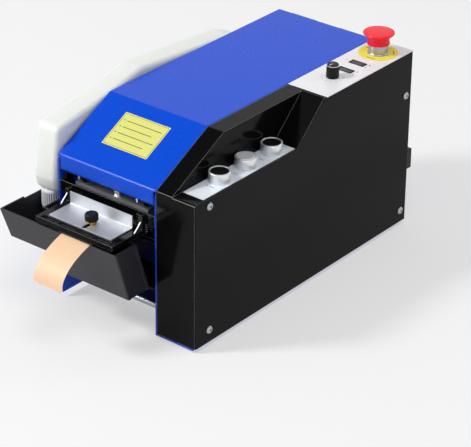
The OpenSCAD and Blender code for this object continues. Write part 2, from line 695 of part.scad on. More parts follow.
module cradle_roller(y) {
    rod_x([cradle_x[0] + gap, cradle_x[1] - gap], y, cradle_z, cradle_roller_d);
    rod_x([cradle_x[0] - 4, cradle_x[1] + 4], y, cradle_z, cradle_pin_d);
}
module cradle_roller_front() place() color("silver") cradle_roller(cradle_ys[0]);
module cradle_roller_rear() place() color("silver") cradle_roller(cradle_ys[1]);

// The tape runs from the top of the roll down to the feed roller and on to the cutting line
nip_y = feed_y + 6;
web_reach = norm([roll_y - nip_y, roll_z - tape_z]);
web_rise = asin((roll_d / 2 + gap) / web_reach) + atan((roll_z - tape_z) / (roll_y - nip_y));
web_l = sqrt(pow(web_reach, 2) - pow(roll_d / 2 + gap, 2));
web_path = [[nip_y + web_l * cos(web_rise), tape_z + web_l * sin(web_rise)], [nip_y, tape_z], [cut_y, tape_z]];
module tape_web() place() color("navajowhite")
    along_x([roll_x[0], roll_x[1]]) polygon(bent(web_path, -tape_t, 6));

guide_rod_z = tape_z + (guide_rod_y - nip_y) * tan(web_rise) - guide_rod_d / 2 / cos(web_rise) - gap;
// Guide rod under the tape, and the pivot rod of the pressure arms, both between the side plates
module cross_rods() place() color("silver") {
    rod_x([bay_in, bay_out], guide_rod_y, guide_rod_z, guide_rod_d);
    rod_x([-3, bay_w + 3], guide_rod_y, guide_rod_z, 5);
    rod_x([-3, bay_w + 3], arm_pivot_y, arm_pivot_z, arm_rod_d);
    for (p = [[guide_rod_y, guide_rod_z], [arm_pivot_y, arm_pivot_z]], x = [[-3, 0], [bay_w, bay_w + 3]])
        rod_x(x, p[0], p[1], 10, $fn = 6);
}

/* ---- feed rollers, pulleys and motor ---- */

pulley_x = bay_w + 5;
module feed_roller() place() {
    color("#303030") rod_x([roll_x[0] - 4, roll_x[1] + 4], feed_y, shaft_z, feed_d);
    color("silver") rod_x([-2, pulley_x + belt_w + 3], feed_y, shaft_z, shaft_d);
    color("#202022") pulley(feed_y, shaft_z, feed_pulley_d);
}

// Toothed pulley: the belt's seat and two thin flanges
module pulley(y, z, d) {
    rod_x([pulley_x - 1, pulley_x + belt_w + 1], y, z, d - 2 * gap, $fn = 64);
    for (x = [pulley_x - 1.6, pulley_x + belt_w + gap]) rod_x([x, x + 1.3], y, z, d + 2, $fn = 64);
}

module shaft_bearings() place() color("peru") for (side = [0, 1]) difference() {
    union() {
        rod_x(side == 0 ? [-2, sheet + 2] : [bay_out - 2, bay_w + 2], feed_y, shaft_z, bush_d);
        rod_x(side == 0 ? [sheet, sheet + 2] : [bay_out - 2, bay_out], feed_y, shaft_z, bush_d + 6);
    }
    rod_x([-5, body_w], feed_y, shaft_z, shaft_d + 2 * run);
}

press_z = tape_z + tape_t + gap + press_d / 2;
press_pin_d = 6;
arm_x = [roll_x[0] - 12, roll_x[1] + 9];
module pressure_roller() place() color("#3a3a3a") {
    rod_x([roll_x[0] - 2, roll_x[1] + 2], feed_y, press_z, press_d);
    rod_x([arm_x[0] - 1, arm_x[1] + 4], feed_y, press_z, press_pin_d);
}

arm_mid = [(feed_y + arm_pivot_y) / 2, (press_z + arm_pivot_z) / 2];
module pressure_arms() place() color("gray") {
    for (x = arm_x) difference() {
        hull() {
            rod_x([x, x + 3], arm_pivot_y, arm_pivot_z, 18);
            rod_x([x, x + 3], feed_y, press_z, 14);
        }
        rod_x([x - 1, x + 4], arm_pivot_y, arm_pivot_z, arm_rod_d + 2 * run);
        rod_x([x - 1, x + 4], feed_y, press_z, press_pin_d + 2 * run);
    }
    rod_x([arm_x[0] + 1, arm_x[1] + 2], arm_mid[0], arm_mid[1], 6);
}

module drive_motor() place() color("silver") difference() {
    union() {
        rod_x([pulley_x + belt_w + 8, pulley_x + belt_w + 8 + motor_l], motor_y, motor_z, motor_d);
        block([pulley_x + belt_w + 5, pulley_x + belt_w + 8], [motor_y - 30, motor_y + 30],
            [sheet, motor_z + motor_d / 2 + 4]);
        for (y = [[motor_y - 30, motor_y - 26], [motor_y + 26, motor_y + 30]])
            block([pulley_x + belt_w + 5, pulley_x + belt_w + 25], y, [sheet, sheet + 12]);
    }
    rod_x([pulley_x + belt_w + 4, pulley_x + belt_w + 22], motor_y, motor_z, shaft_d + 2 * run);
}

module motor_pulley() place() color("silver") {
    rod_x([pulley_x - 2, pulley_x + belt_w + 20], motor_y, motor_z, shaft_d);
    pulley(motor_y, motor_z, motor_pulley_d);
}

// Closed belt around both pulleys
module belt_outline(extra) {
    c = norm([motor_y - feed_y, motor_z - shaft_z]);
    r1 = feed_pulley_d / 2 + extra;
    r2 = motor_pulley_d / 2 + extra;
    a = acos((r1 - r2) / c);
    arc1 = [for (k = [0:24]) let (w = a + (360 - 2 * a) * k / 24) r1 * [cos(w), sin(w)]];
    arc2 = [for (k = [0:16]) let (w = -a + 2 * a * k / 16) [c, 0] + r2 * [cos(w), sin(w)]];
    polygon(concat(arc1, arc2));
}
module drive_belt() place() color("#202020") translate([pulley_x, feed_y, shaft_z])
    rotate([atan2(motor_z - shaft_z, motor_y - feed_y), 0, 0]) along_x([0, belt_w]) difference() {
        belt_outline(belt_t);
        belt_outline(0);
    }

/* ---- cutter ---- */

post_xs = [tape_x - 5 - post_gap / 2, tape_x - 5 + post_gap / 2];
post_y = cut_y - 11;
lower_bar = [tape_z - 14, tape_z - 8];
upper_bar = [tape_z + 38, tape_z + 42];
guard_top = rim_z + 30;
module cutter_frame() place() {
    color("#2a2a2c") difference() {
        union() {
            block([bay_in, bay_out], [post_y - 7, post_y + 7], lower_bar);
            block([bay_in, bay_out], [post_y - 7, post_y + 7], upper_bar);
            for (x = [[bay_in, bay_in + 3], [bay_out - 3, bay_out]])
                block(x, [post_y - 7, post_y + 7], [lower_bar[0], upper_bar[1]]);
            // Guard in front of the blade
            block([bay_in, bay_out], [0, 2], [tape_z + 14, guard_top]);
            for (x = [[bay_in, bay_in + 3], [bay_out - 3, bay_out]])
                block(x, [0, post_y], [tape_z + 14, guard_top]);
            // Bar that carries the fixed blade
            block([bay_in, bay_out], [cut_y + blade_t, cut_y + blade_t + 10], [tape_z - 18, tape_z - 2]);
        }
        for (x = post_xs) rod_z(x, post_y, [lower_bar[0] - 1, upper_bar[1] + 1], post_d + 2 * run);
        rod_z(tape_x, post_y, [upper_bar[0] - 1, upper_bar[1] + 1], 9);
    }
    color("silver") for (x = post_xs) {
        rod_z(x, post_y, [lower_bar[0], upper_bar[1]], post_d);
        rod_z(x, post_y, [lower_bar[0] - 2, lower_bar[0]], post_d + 4);
        rod_z(x, post_y, [upper_bar[1], upper_bar[1] + 2], post_d + 4);
    }
}

blade_x = [tape_x - blade_l / 2, tape_x + blade_l / 2];
module fixed_blade() place() color("silver") difference() {
    block(blade_x, [cut_y, cut_y + blade_t], [tape_z - 18, tape_z - 0.5]);
    for (x = [blade_x[0] + 10, blade_x[1] - 10]) rod_y(x, [cut_y - 1, cut_y + blade_t + 1], tape_z - 10, 4.4);
}

carrier_z = [tape_z + 15, tape_z + 29];
module moving_blade() place() {
    color("silver") block(blade_x, [cut_y - 0.2 - blade_t, cut_y - 0.2], [tape_z + 2, carrier_z[1]]);
    color("gray") difference() {
        block([post_xs[0] - 9, post_xs[1] + 9], [post_y - 6, cut_y - 0.2 - blade_t], carrier_z);
        for (x = post_xs) rod_z(x, post_y, [carrier_z[0] - 1, carrier_z[1] + 1], post_d + 2 * run);
    }
    color("silver") rod_z(tape_x, post_y, [carrier_z[1] - 0.1, upper_bar[1] + 18], 8);
}

module cutter_solenoid() place() color("#b06a30") difference() {
    block([tape_x - 14, tape_x + 14], [post_y - 8, post_y + 12], [upper_bar[1], upper_bar[1] + 20]);
    rod_z(tape_x, post_y, [upper_bar[1] - 1, upper_bar[1] + 19], 8 + 2 * slack);
}

// Return springs on the posts, and the torsion spring on the arms' pivot rod
module blade_springs() place() color("silver") {
    for (x = post_xs) translate([x, post_y, lower_bar[1]]) coil(9, 1, carrier_z[0] - lower_bar[1], 7);
    translate([arm_x[0] + 3 + gap, arm_pivot_y, arm_pivot_z]) rotate([0, 90, 0]) coil(9.5, 1, 8, 5);
}

/* ---- front: feed plate, tray, brushes ---- */

feed_plate_x = [29, 29 + feed_plate_w];
feed_plate_y = [-50, -50 + feed_plate_l];
frame_z = [tape_z + 1.5, tape_z + 8];
plate_z = frame_z[1] + 0.1;
screw_x = 84;
screw_y = -33;
thumb_screw_d = 5;
slot_d = thumb_screw_d + 0.8;
slot_y = [screw_y - feed_plate_travel - 8, screw_y + 4];

// Black frame over the tray, hung on the guard by two cheeks
frame_x = [17, 141];
frame_y = [-tray_out + 1.6 + gap, -2];
cell_y = [frame_y[0] + 2, feed_plate_y[0] - 1.5];
cell_w = (frame_x[1] - frame_x[0] - 12) / 4;
cheek_w = 9;
module feed_frame() place() color("#242426") difference() {
    union() {
        block(frame_x, frame_y, frame_z);
        block([frame_x[0], frame_x[0] + 4], [-6, 0], [frame_z[0], tape_z + 24]);
        block([frame_x[1] - cheek_w, frame_x[1]], [-6, 0], [frame_z[0], tape_z + 28]);
    }
    rod_z(screw_x, screw_y, [frame_z[0] - 1, frame_z[1] + 1], thumb_screw_d + 2 * run);
    // Row of shallow cells along the front
    for (k = [0 : 3])
        block([frame_x[0] + 6 + k * cell_w, frame_x[0] + 4 + (k + 1) * cell_w], cell_y, [frame_z[1] - 3.5, frame_z[1] + 1]);
}

// Polished plate with an upright back edge and a slot for the thumb screw
module feed_plate() place() color("gainsboro") difference() {
    along_x(feed_plate_x) polygon(bent([[feed_plate_y[1], plate_z + feed_plate_h], [feed_plate_y[1], plate_z],
        [feed_plate_y[0], plate_z]], -feed_plate_t, 1));
    block([screw_x - slot_d / 2, screw_x + slot_d / 2], slot_y, [plate_z - 1, plate_z + 3]);
    for (y = slot_y) rod_z(screw_x, y, [plate_z - 1, plate_z + 3], slot_d);
}

collar_z = plate_z + feed_plate_t + 0.1;
collar_h = 4;
module thumb_screw() place() {
    color("#1c1c1e") rod_z(screw_x, screw_y, [collar_z + collar_h, collar_z + collar_h + thumb_h], thumb_d);
    color("goldenrod") rod_z(screw_x, screw_y, [collar_z, collar_z + collar_h], 12);
    color("silver") rod_z(screw_x, screw_y, [frame_z[0] + 1, collar_z + 1], thumb_screw_d);
}

// Leaning front of the tray at height z, and a leaning bar at some distance behind it
lean = tray_lean / tray_deep;
tray_z = rim_z - tray_deep;
wing_z = rim_z - wing_deep;
plate_side_gap = 1.5;
function tray_face(z) = -tray_out + lean * (rim_z - z);
function leaning(off, z) = [for (c = [[0, 0], [1, 0], [1, 1], [0, 1]]) [tray_face(z[c[1]]) + off[c[0]], z[c[1]]]];

// The tray's form, s inside its outer faces: one leaning slab, then the wing's box beside the bottle
module tray_form(s) {
    f = s / cos(atan(lean));
    top = rim_z + s;
    intersection() {
        along_x([-wing_out - 1, tray_right - s]) polygon(leaning([f, tray_w - f], [tray_z + s, top]));
        union() {
            block([tray_left + s, tray_right + 1], [-tray_out - 1, wing_back + 1], [tray_z - 1, top + 1]);
            wing_sides(s);
        }
    }
    intersection() {
        block([-wing_out - 1, -plate_side_gap - s], [-tray_out + tray_w / 2, wing_back - s], [wing_z + s, top]);
        wing_sides(s);
    }
}
module wing_sides(s) along_y([-tray_out - 1, wing_back + 1]) polygon([[-wing_out + 4 + s, wing_z + s],
    [tray_left + 2 * tray_t, wing_z + s], [tray_left + 2 * tray_t, rim_z + tray_t], [-wing_out + s - 0.2, rim_z + tray_t]]);

tab_xs = [tape_x - 27, tape_x + 17];
rib_w = 4;
module water_tray() place() color("#3c3c41") {
    difference() {
        tray_form(0);
        tray_form(tray_t);
        // The wing's outer rim steps down beside the bottle
        block([-wing_out - 1, -wing_out + 5], [-21, wing_back - 1], [rim_z - 2.5, rim_z + 3]);
    }
    // Ribs on the right side wall
    for (off = [[0.5, rib_w], [tray_w - rib_w, tray_w - 0.5]])
        along_x([tray_right - 0.5, tray_right + 1.5]) polygon(leaning(off, [tray_z + 0.5, rim_z - 1]));
    // Short webs behind the front wall
    for (x = tab_xs) along_x([x, x + 2]) polygon(leaning([tray_t / 2, 7.5], [rim_z - 8, rim_z - 0.5]));
    // Bar over the strip, with a foot on the rim at each end
    bar_z = tape_z + tape_t + gap;
    block([roll_x[0] - 4, roll_x[1] + 4], [-tray_out - 0.4, -tray_out + 1.6], [bar_z, bar_z + 1]);
    for (x = [roll_x[0] - 4, roll_x[1] + 2])
        block([x, x + 2], [-tray_out + 0.3, -tray_out + 1.6], [rim_z - 1, bar_z + 0.5]);
}

brush_x = [tape_x - tape_w / 2 - 4, tape_x + tape_w / 2 + 4];
holder_top = tray_z + 18;
module brushes() place() {
    color("#222224") along_x(brush_x) polygon(leaning([5, tray_w - 8], [tray_z + tray_t, holder_top]));
    color("peru") for (off = [[8, 14], [20, 26]])
        along_x([brush_x[0] + 2, brush_x[1] - 2]) polygon(leaning(off, [holder_top, tape_z - 0.4]));
}

// The strip that has been fed out: over the brushes and the rim, then curling down
strip_bend = 18;
strip_curl = 36.5;
strip_end_z = rim_z - 43.5;
strip_path_2 = [[cut_y - 4.5, tape_z + tape_t], [-tray_out + 2.5, tape_z + tape_t],
    [-tongue_end_y, tape_z + tape_t - (tongue_end_y - tray_out + 2.5) * tan(strip_bend)], [-tongue_end_y, strip_end_z]];
module tape_strip() place() color("navajowhite") along_x(roll_x) polygon(concat(
    rounded(strip_path_2, [0, 12 + tape_t, strip_curl + tape_t, 0]),
    reversed(rounded(shifted(strip_path_2, tape_t), [0, 12, strip_curl, 0]))));

// Bottle beside the body: its profile follows the lid, its neck stands in the tray's wing
bottle_x = [-bottle_gap - bottle_w, -bottle_gap];
bottle_y = -5;
neck_y = 10;
neck_x = (bottle_x[0] + bottle_x[1]) / 2;
shelf_z = rim_z + 13;
cap_top = shelf_z - 5;
function loop_at(p, i) = p[(i + len(p)) % len(p)];
function round_loop(p, r) = [for (i = [0:len(p) - 1]) each corner(loop_at(p, i - 1), p[i], loop_at(p, i + 1), r)];
function inset_loop(p, t) = [
    for (i = [0:len(p) - 1])
        let (n = left_of(unit(p[i] - loop_at(p, i - 1))), m = left_of(unit(loop_at(p, i + 1) - p[i])))
        p[i] + t * (n + m) / (1 + n * m)];
bottle_back = bottle_y + bottle_l;
bottle_profile = [[neck_y + 13, cap_top], [neck_y + 34, shelf_z], [bottle_back, shelf_z], [bottle_back, body_h - 17],
    [bottle_back - 28, body_h - 6], [knee_y + 65, body_h + 9], [knee_y, body_h - 5], [bottle_y + 9, shoulder_h + 31],
    [bottle_y, cap_top + 18], [neck_y - 12, cap_top]];
bottle_round = 5;
neck_d = 20;
module water_bottle() place() color("white", 0.6) difference() {
    union() {
        along_x(bottle_x) polygon(round_loop(bottle_profile, bottle_round));
        rod_z(neck_x, neck_y, [cap_top - cap_h + 4, cap_top + 1], neck_d);
    }
    along_x([bottle_x[0] + bottle_t, bottle_x[1] - bottle_t])
        polygon(round_loop(inset_loop(bottle_profile, bottle_t), bottle_round - bottle_t));
    rod_z(neck_x, neck_y, [cap_top - cap_h + 3, cap_top + 4], neck_d - 4);
}

module bottle_cap() place() color("white") difference() {
    union() {
        difference() {
            rod_z(neck_x, neck_y, [cap_top - cap_h, cap_top], cap_d);
            rod_z(neck_x, neck_y, [cap_top - cap_h + 3, cap_top + 1], neck_d + 2 * slack);
        }
        rod_z(neck_x, neck_y, [cap_top - cap_h - 6, cap_top - cap_h + 1], 8);
    }
}

// Shelf under the bottle, and the bracket that carries the tray
shelf_y = [225, 325];
module brackets() place() color("#242426") {
    along_y(shelf_y) polygon(bent([[0, shelf_z + 22], [0, shelf_z - gap - sheet],
        [bottle_x[0] - gap - sheet, shelf_z - gap - sheet], [bottle_x[0] - gap - sheet, shelf_z + 8]], -sheet, 1));
    floor_z = tray_z - gap - sheet;
    block([bay_in, bay_out], [2, 50], [floor_z, floor_z + sheet]);
    block([tray_left + 6, tray_right - 6], [-30, 2.1], [floor_z, floor_z + sheet]);
    for (x = [bay_in, bay_out - sheet]) block([x, x + sheet], [5, 50], [floor_z, floor_z + 32]);
}

base_plate();
left_side_plate();
housing_chassis();
rear_panel();
housing_cover();
housing_side_panel();
panel_screws();
control_plate();
button_label_plate();
feet();
lid();
lid_fittings();
hinge_leaves();
button_rings();
start_button();
repeat_button();
reverse_button();
button_springs();
length_knob();
potentiometer();
rocker_front();
rocker_rear();
rocker_housings();
stop_collar();
stop_stem();
stop_head();
stop_contact_block();
power_inlet();
fuse_holder();
control_board();
power_supply();
tape_roll();
tape_core();
roll_cradle();
cradle_roller_front();
cradle_roller_rear();
tape_web();
cross_rods();
feed_roller();
pressure_roller();
pressure_arms();
shaft_bearings();
drive_motor();
motor_pulley();
drive_belt();
cutter_frame();
fixed_blade();
moving_blade();
cutter_solenoid();
blade_springs();
feed_frame();
feed_plate();
thumb_screw();
water_tray();
brushes();
tape_strip();
brackets();
water_bottle();
bottle_cap();
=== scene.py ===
import json
import math

import bmesh
import bpy
from mathutils import Matrix, Vector


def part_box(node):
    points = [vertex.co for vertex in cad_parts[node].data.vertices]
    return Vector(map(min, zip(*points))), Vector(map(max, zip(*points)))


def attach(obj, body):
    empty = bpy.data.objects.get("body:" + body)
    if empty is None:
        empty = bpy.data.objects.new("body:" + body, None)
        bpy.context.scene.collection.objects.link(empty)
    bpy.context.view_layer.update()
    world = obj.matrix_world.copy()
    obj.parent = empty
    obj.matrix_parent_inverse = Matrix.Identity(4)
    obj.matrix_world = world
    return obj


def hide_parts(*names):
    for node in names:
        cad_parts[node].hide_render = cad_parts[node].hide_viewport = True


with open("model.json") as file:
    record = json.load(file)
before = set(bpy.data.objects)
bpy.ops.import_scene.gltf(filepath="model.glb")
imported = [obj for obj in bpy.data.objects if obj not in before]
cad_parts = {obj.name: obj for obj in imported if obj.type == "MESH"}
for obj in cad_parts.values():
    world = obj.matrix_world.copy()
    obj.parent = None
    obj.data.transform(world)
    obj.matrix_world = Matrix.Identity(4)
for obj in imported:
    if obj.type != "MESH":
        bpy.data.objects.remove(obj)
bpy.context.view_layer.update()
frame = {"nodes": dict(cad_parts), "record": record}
nodes = frame["nodes"]
mm = 0.001
# sizes are millimetres on the bench: from the body's left face, front face and underside
benchOrigin = Vector((90.5, 171.1, -3.0))
plateTop = 251.0  # upper face of the control plate
hair = 0.02  # a thin part's clearance from what it lies on


def at(x, y, z):
    return (Vector((x, y, z)) - benchOrigin) * mm


def bench(point):
    return point / mm + benchOrigin


def benchBox(node):
    return [bench(corner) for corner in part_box(node)]


def middle(node):
    low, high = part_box(node)
    return (low + high) / 2


def axisOf(node):
    # the node's upright axis, with its foot at bench height zero
    spot = middle(node)
    return Vector((spot.x, spot.y, -benchOrigin.z * mm))


# camera: fitted to the body's straight edges, placed in metres from the part's own origin

view = {
    "place": (1.5867, -1.9248, 1.4105),
    "azimuth": 38.547,
    "elevation": 28.324,
    "roll": 0.617,
    "lens": 168.07,
    "sensor": 36,
    "farthest": 20,
}


def makeCamera():
    az, el, roll = (math.radians(view[k]) for k in ("azimuth", "elevation", "roll"))
    ahead = Vector((-math.cos(el) * math.sin(az), math.cos(el) * math.cos(az), -math.sin(el)))
    level = Vector((math.cos(az), math.sin(az), 0))
    upright = level.cross(ahead)
    right = math.cos(roll) * level + math.sin(roll) * upright
    up = -math.sin(roll) * level + math.cos(roll) * upright
    data = bpy.data.cameras.new("camera")
    data.lens = view["lens"]
    data.sensor_width = view["sensor"]
    data.clip_end = view["farthest"]
    camera = bpy.data.objects.new("camera", data)
    bpy.context.scene.collection.objects.link(camera)
    turn = Matrix((right, up, -ahead)).transposed().to_4x4()
    camera.matrix_world = Matrix.Translation(view["place"]) @ turn
    bpy.context.scene.camera = camera


makeCamera()
print("camera placed")

# materials


def linear(code):
    values = [int(code[i : i + 2], 16) / 255 for i in (1, 3, 5)]
    channels = (v / 12.92 if v <= 0.04045 else ((v + 0.055) / 1.055) ** 2.4 for v in values)
    return tuple(channels) + (1.0,)


def addNode(tree, kind, settings=None, **inputs):
    node = tree.nodes.new("ShaderNode" + kind)
    for key, value in (settings or {}).items():
        setattr(node, key, value)
    for key, value in inputs.items():
        numbered = key[1:].isdigit()
        socket = node.inputs[int(key[1:]) if numbered else key.replace("_", " ")]
        if isinstance(value, bpy.types.NodeSocket):
            tree.links.new(value, socket)
        else:
            socket.default_value = value
    return node


def newMaterial(name, **shader):
    mat = bpy.data.materials.new(name)
    mat.use_nodes = True
    tree = mat.node_tree
    tree.nodes.clear()
    surface = addNode(tree, "BsdfPrincipled", **shader)
    out = addNode(tree, "OutputMaterial")
    tree.links.new(surface.outputs[0], out.inputs[0])
    return mat, tree, surface


# the noise's useful middle, and how far the softened normal turns from the edge to the full
# painted edge highlight
pattern = {"span": (0.3, 0.7), "fine": 4.0, "broad": 3.0, "rays": 8, "turn": (0.97, 0.8)}


def finish(
    name, colours, grain, patch, rough, bump, stretch=(1, 1, 1), edge=0.0, rim=None, **shader
):
    # grain, patch, bump height and edge are in millimetres
    mat, tree, surface = newMaterial(name, **shader)
    coords = addNode(tree, "TexCoord").outputs["Object"]
    place = addNode(tree, "Mapping", i0=coords, Scale=stretch).outputs[0]
    fine, broad = (
        addNode(tree, "TexNoise", Vector=place, Scale=1 / mm / size, Detail=detail).outputs[0]
        for size, detail in ((grain, pattern["fine"]), (patch, pattern["broad"]))
    )
    blend = addNode(tree, "Mix", {"data_type": "RGBA"}, i0=broad)
    blend.inputs[6].default_value = linear(colours[0])
    blend.inputs[7].default_value = linear(colours[1])
    tree.links.new(blend.outputs[2], surface.inputs["Base Color"])
    (low, high), (smooth, dull) = pattern["span"], rough
    spread = addNode(tree, "MapRange", Value=fine, i1=low, i2=high, i3=smooth, i4=dull)
    tree.links.new(spread.outputs[0], surface.inputs["Roughness"])
    raised = addNode(tree, "Bump", Height=fine, Strength=bump[0], Distance=bump[1] * mm)
    if edge:
        bevel = addNode(tree, "Bevel", {"samples": pattern["rays"]}, Radius=edge * mm)
        softened = bevel.outputs[0]
        tree.links.new(softened, raised.inputs["Normal"])
    if rim:
        # painted highlight: a paler rim colour is mixed into the base where two faces meet,
        # standing in for light caught along the edges
        face = addNode(tree, "NewGeometry").outputs["True Normal"]
        dot = addNode(tree, "VectorMath", {"operation": "DOT_PRODUCT"}, i0=face, i1=softened)
        low, high = pattern["turn"]
        near = addNode(tree, "MapRange", Value=dot.outputs["Value"], i1=low, i2=high)
        paintedEdgeHighlight = addNode(tree, "Mix", {"data_type": "RGBA"}, i0=near.outputs[0], i6=blend.outputs[2])
        paintedEdgeHighlight.inputs[7].default_value = linear(rim)
        tree.links.new(paintedEdgeHighlight.outputs[2], surface.inputs["Base Color"])
    tree.links.new(raised.outputs[0], surface.inputs["Normal"])
    return mat


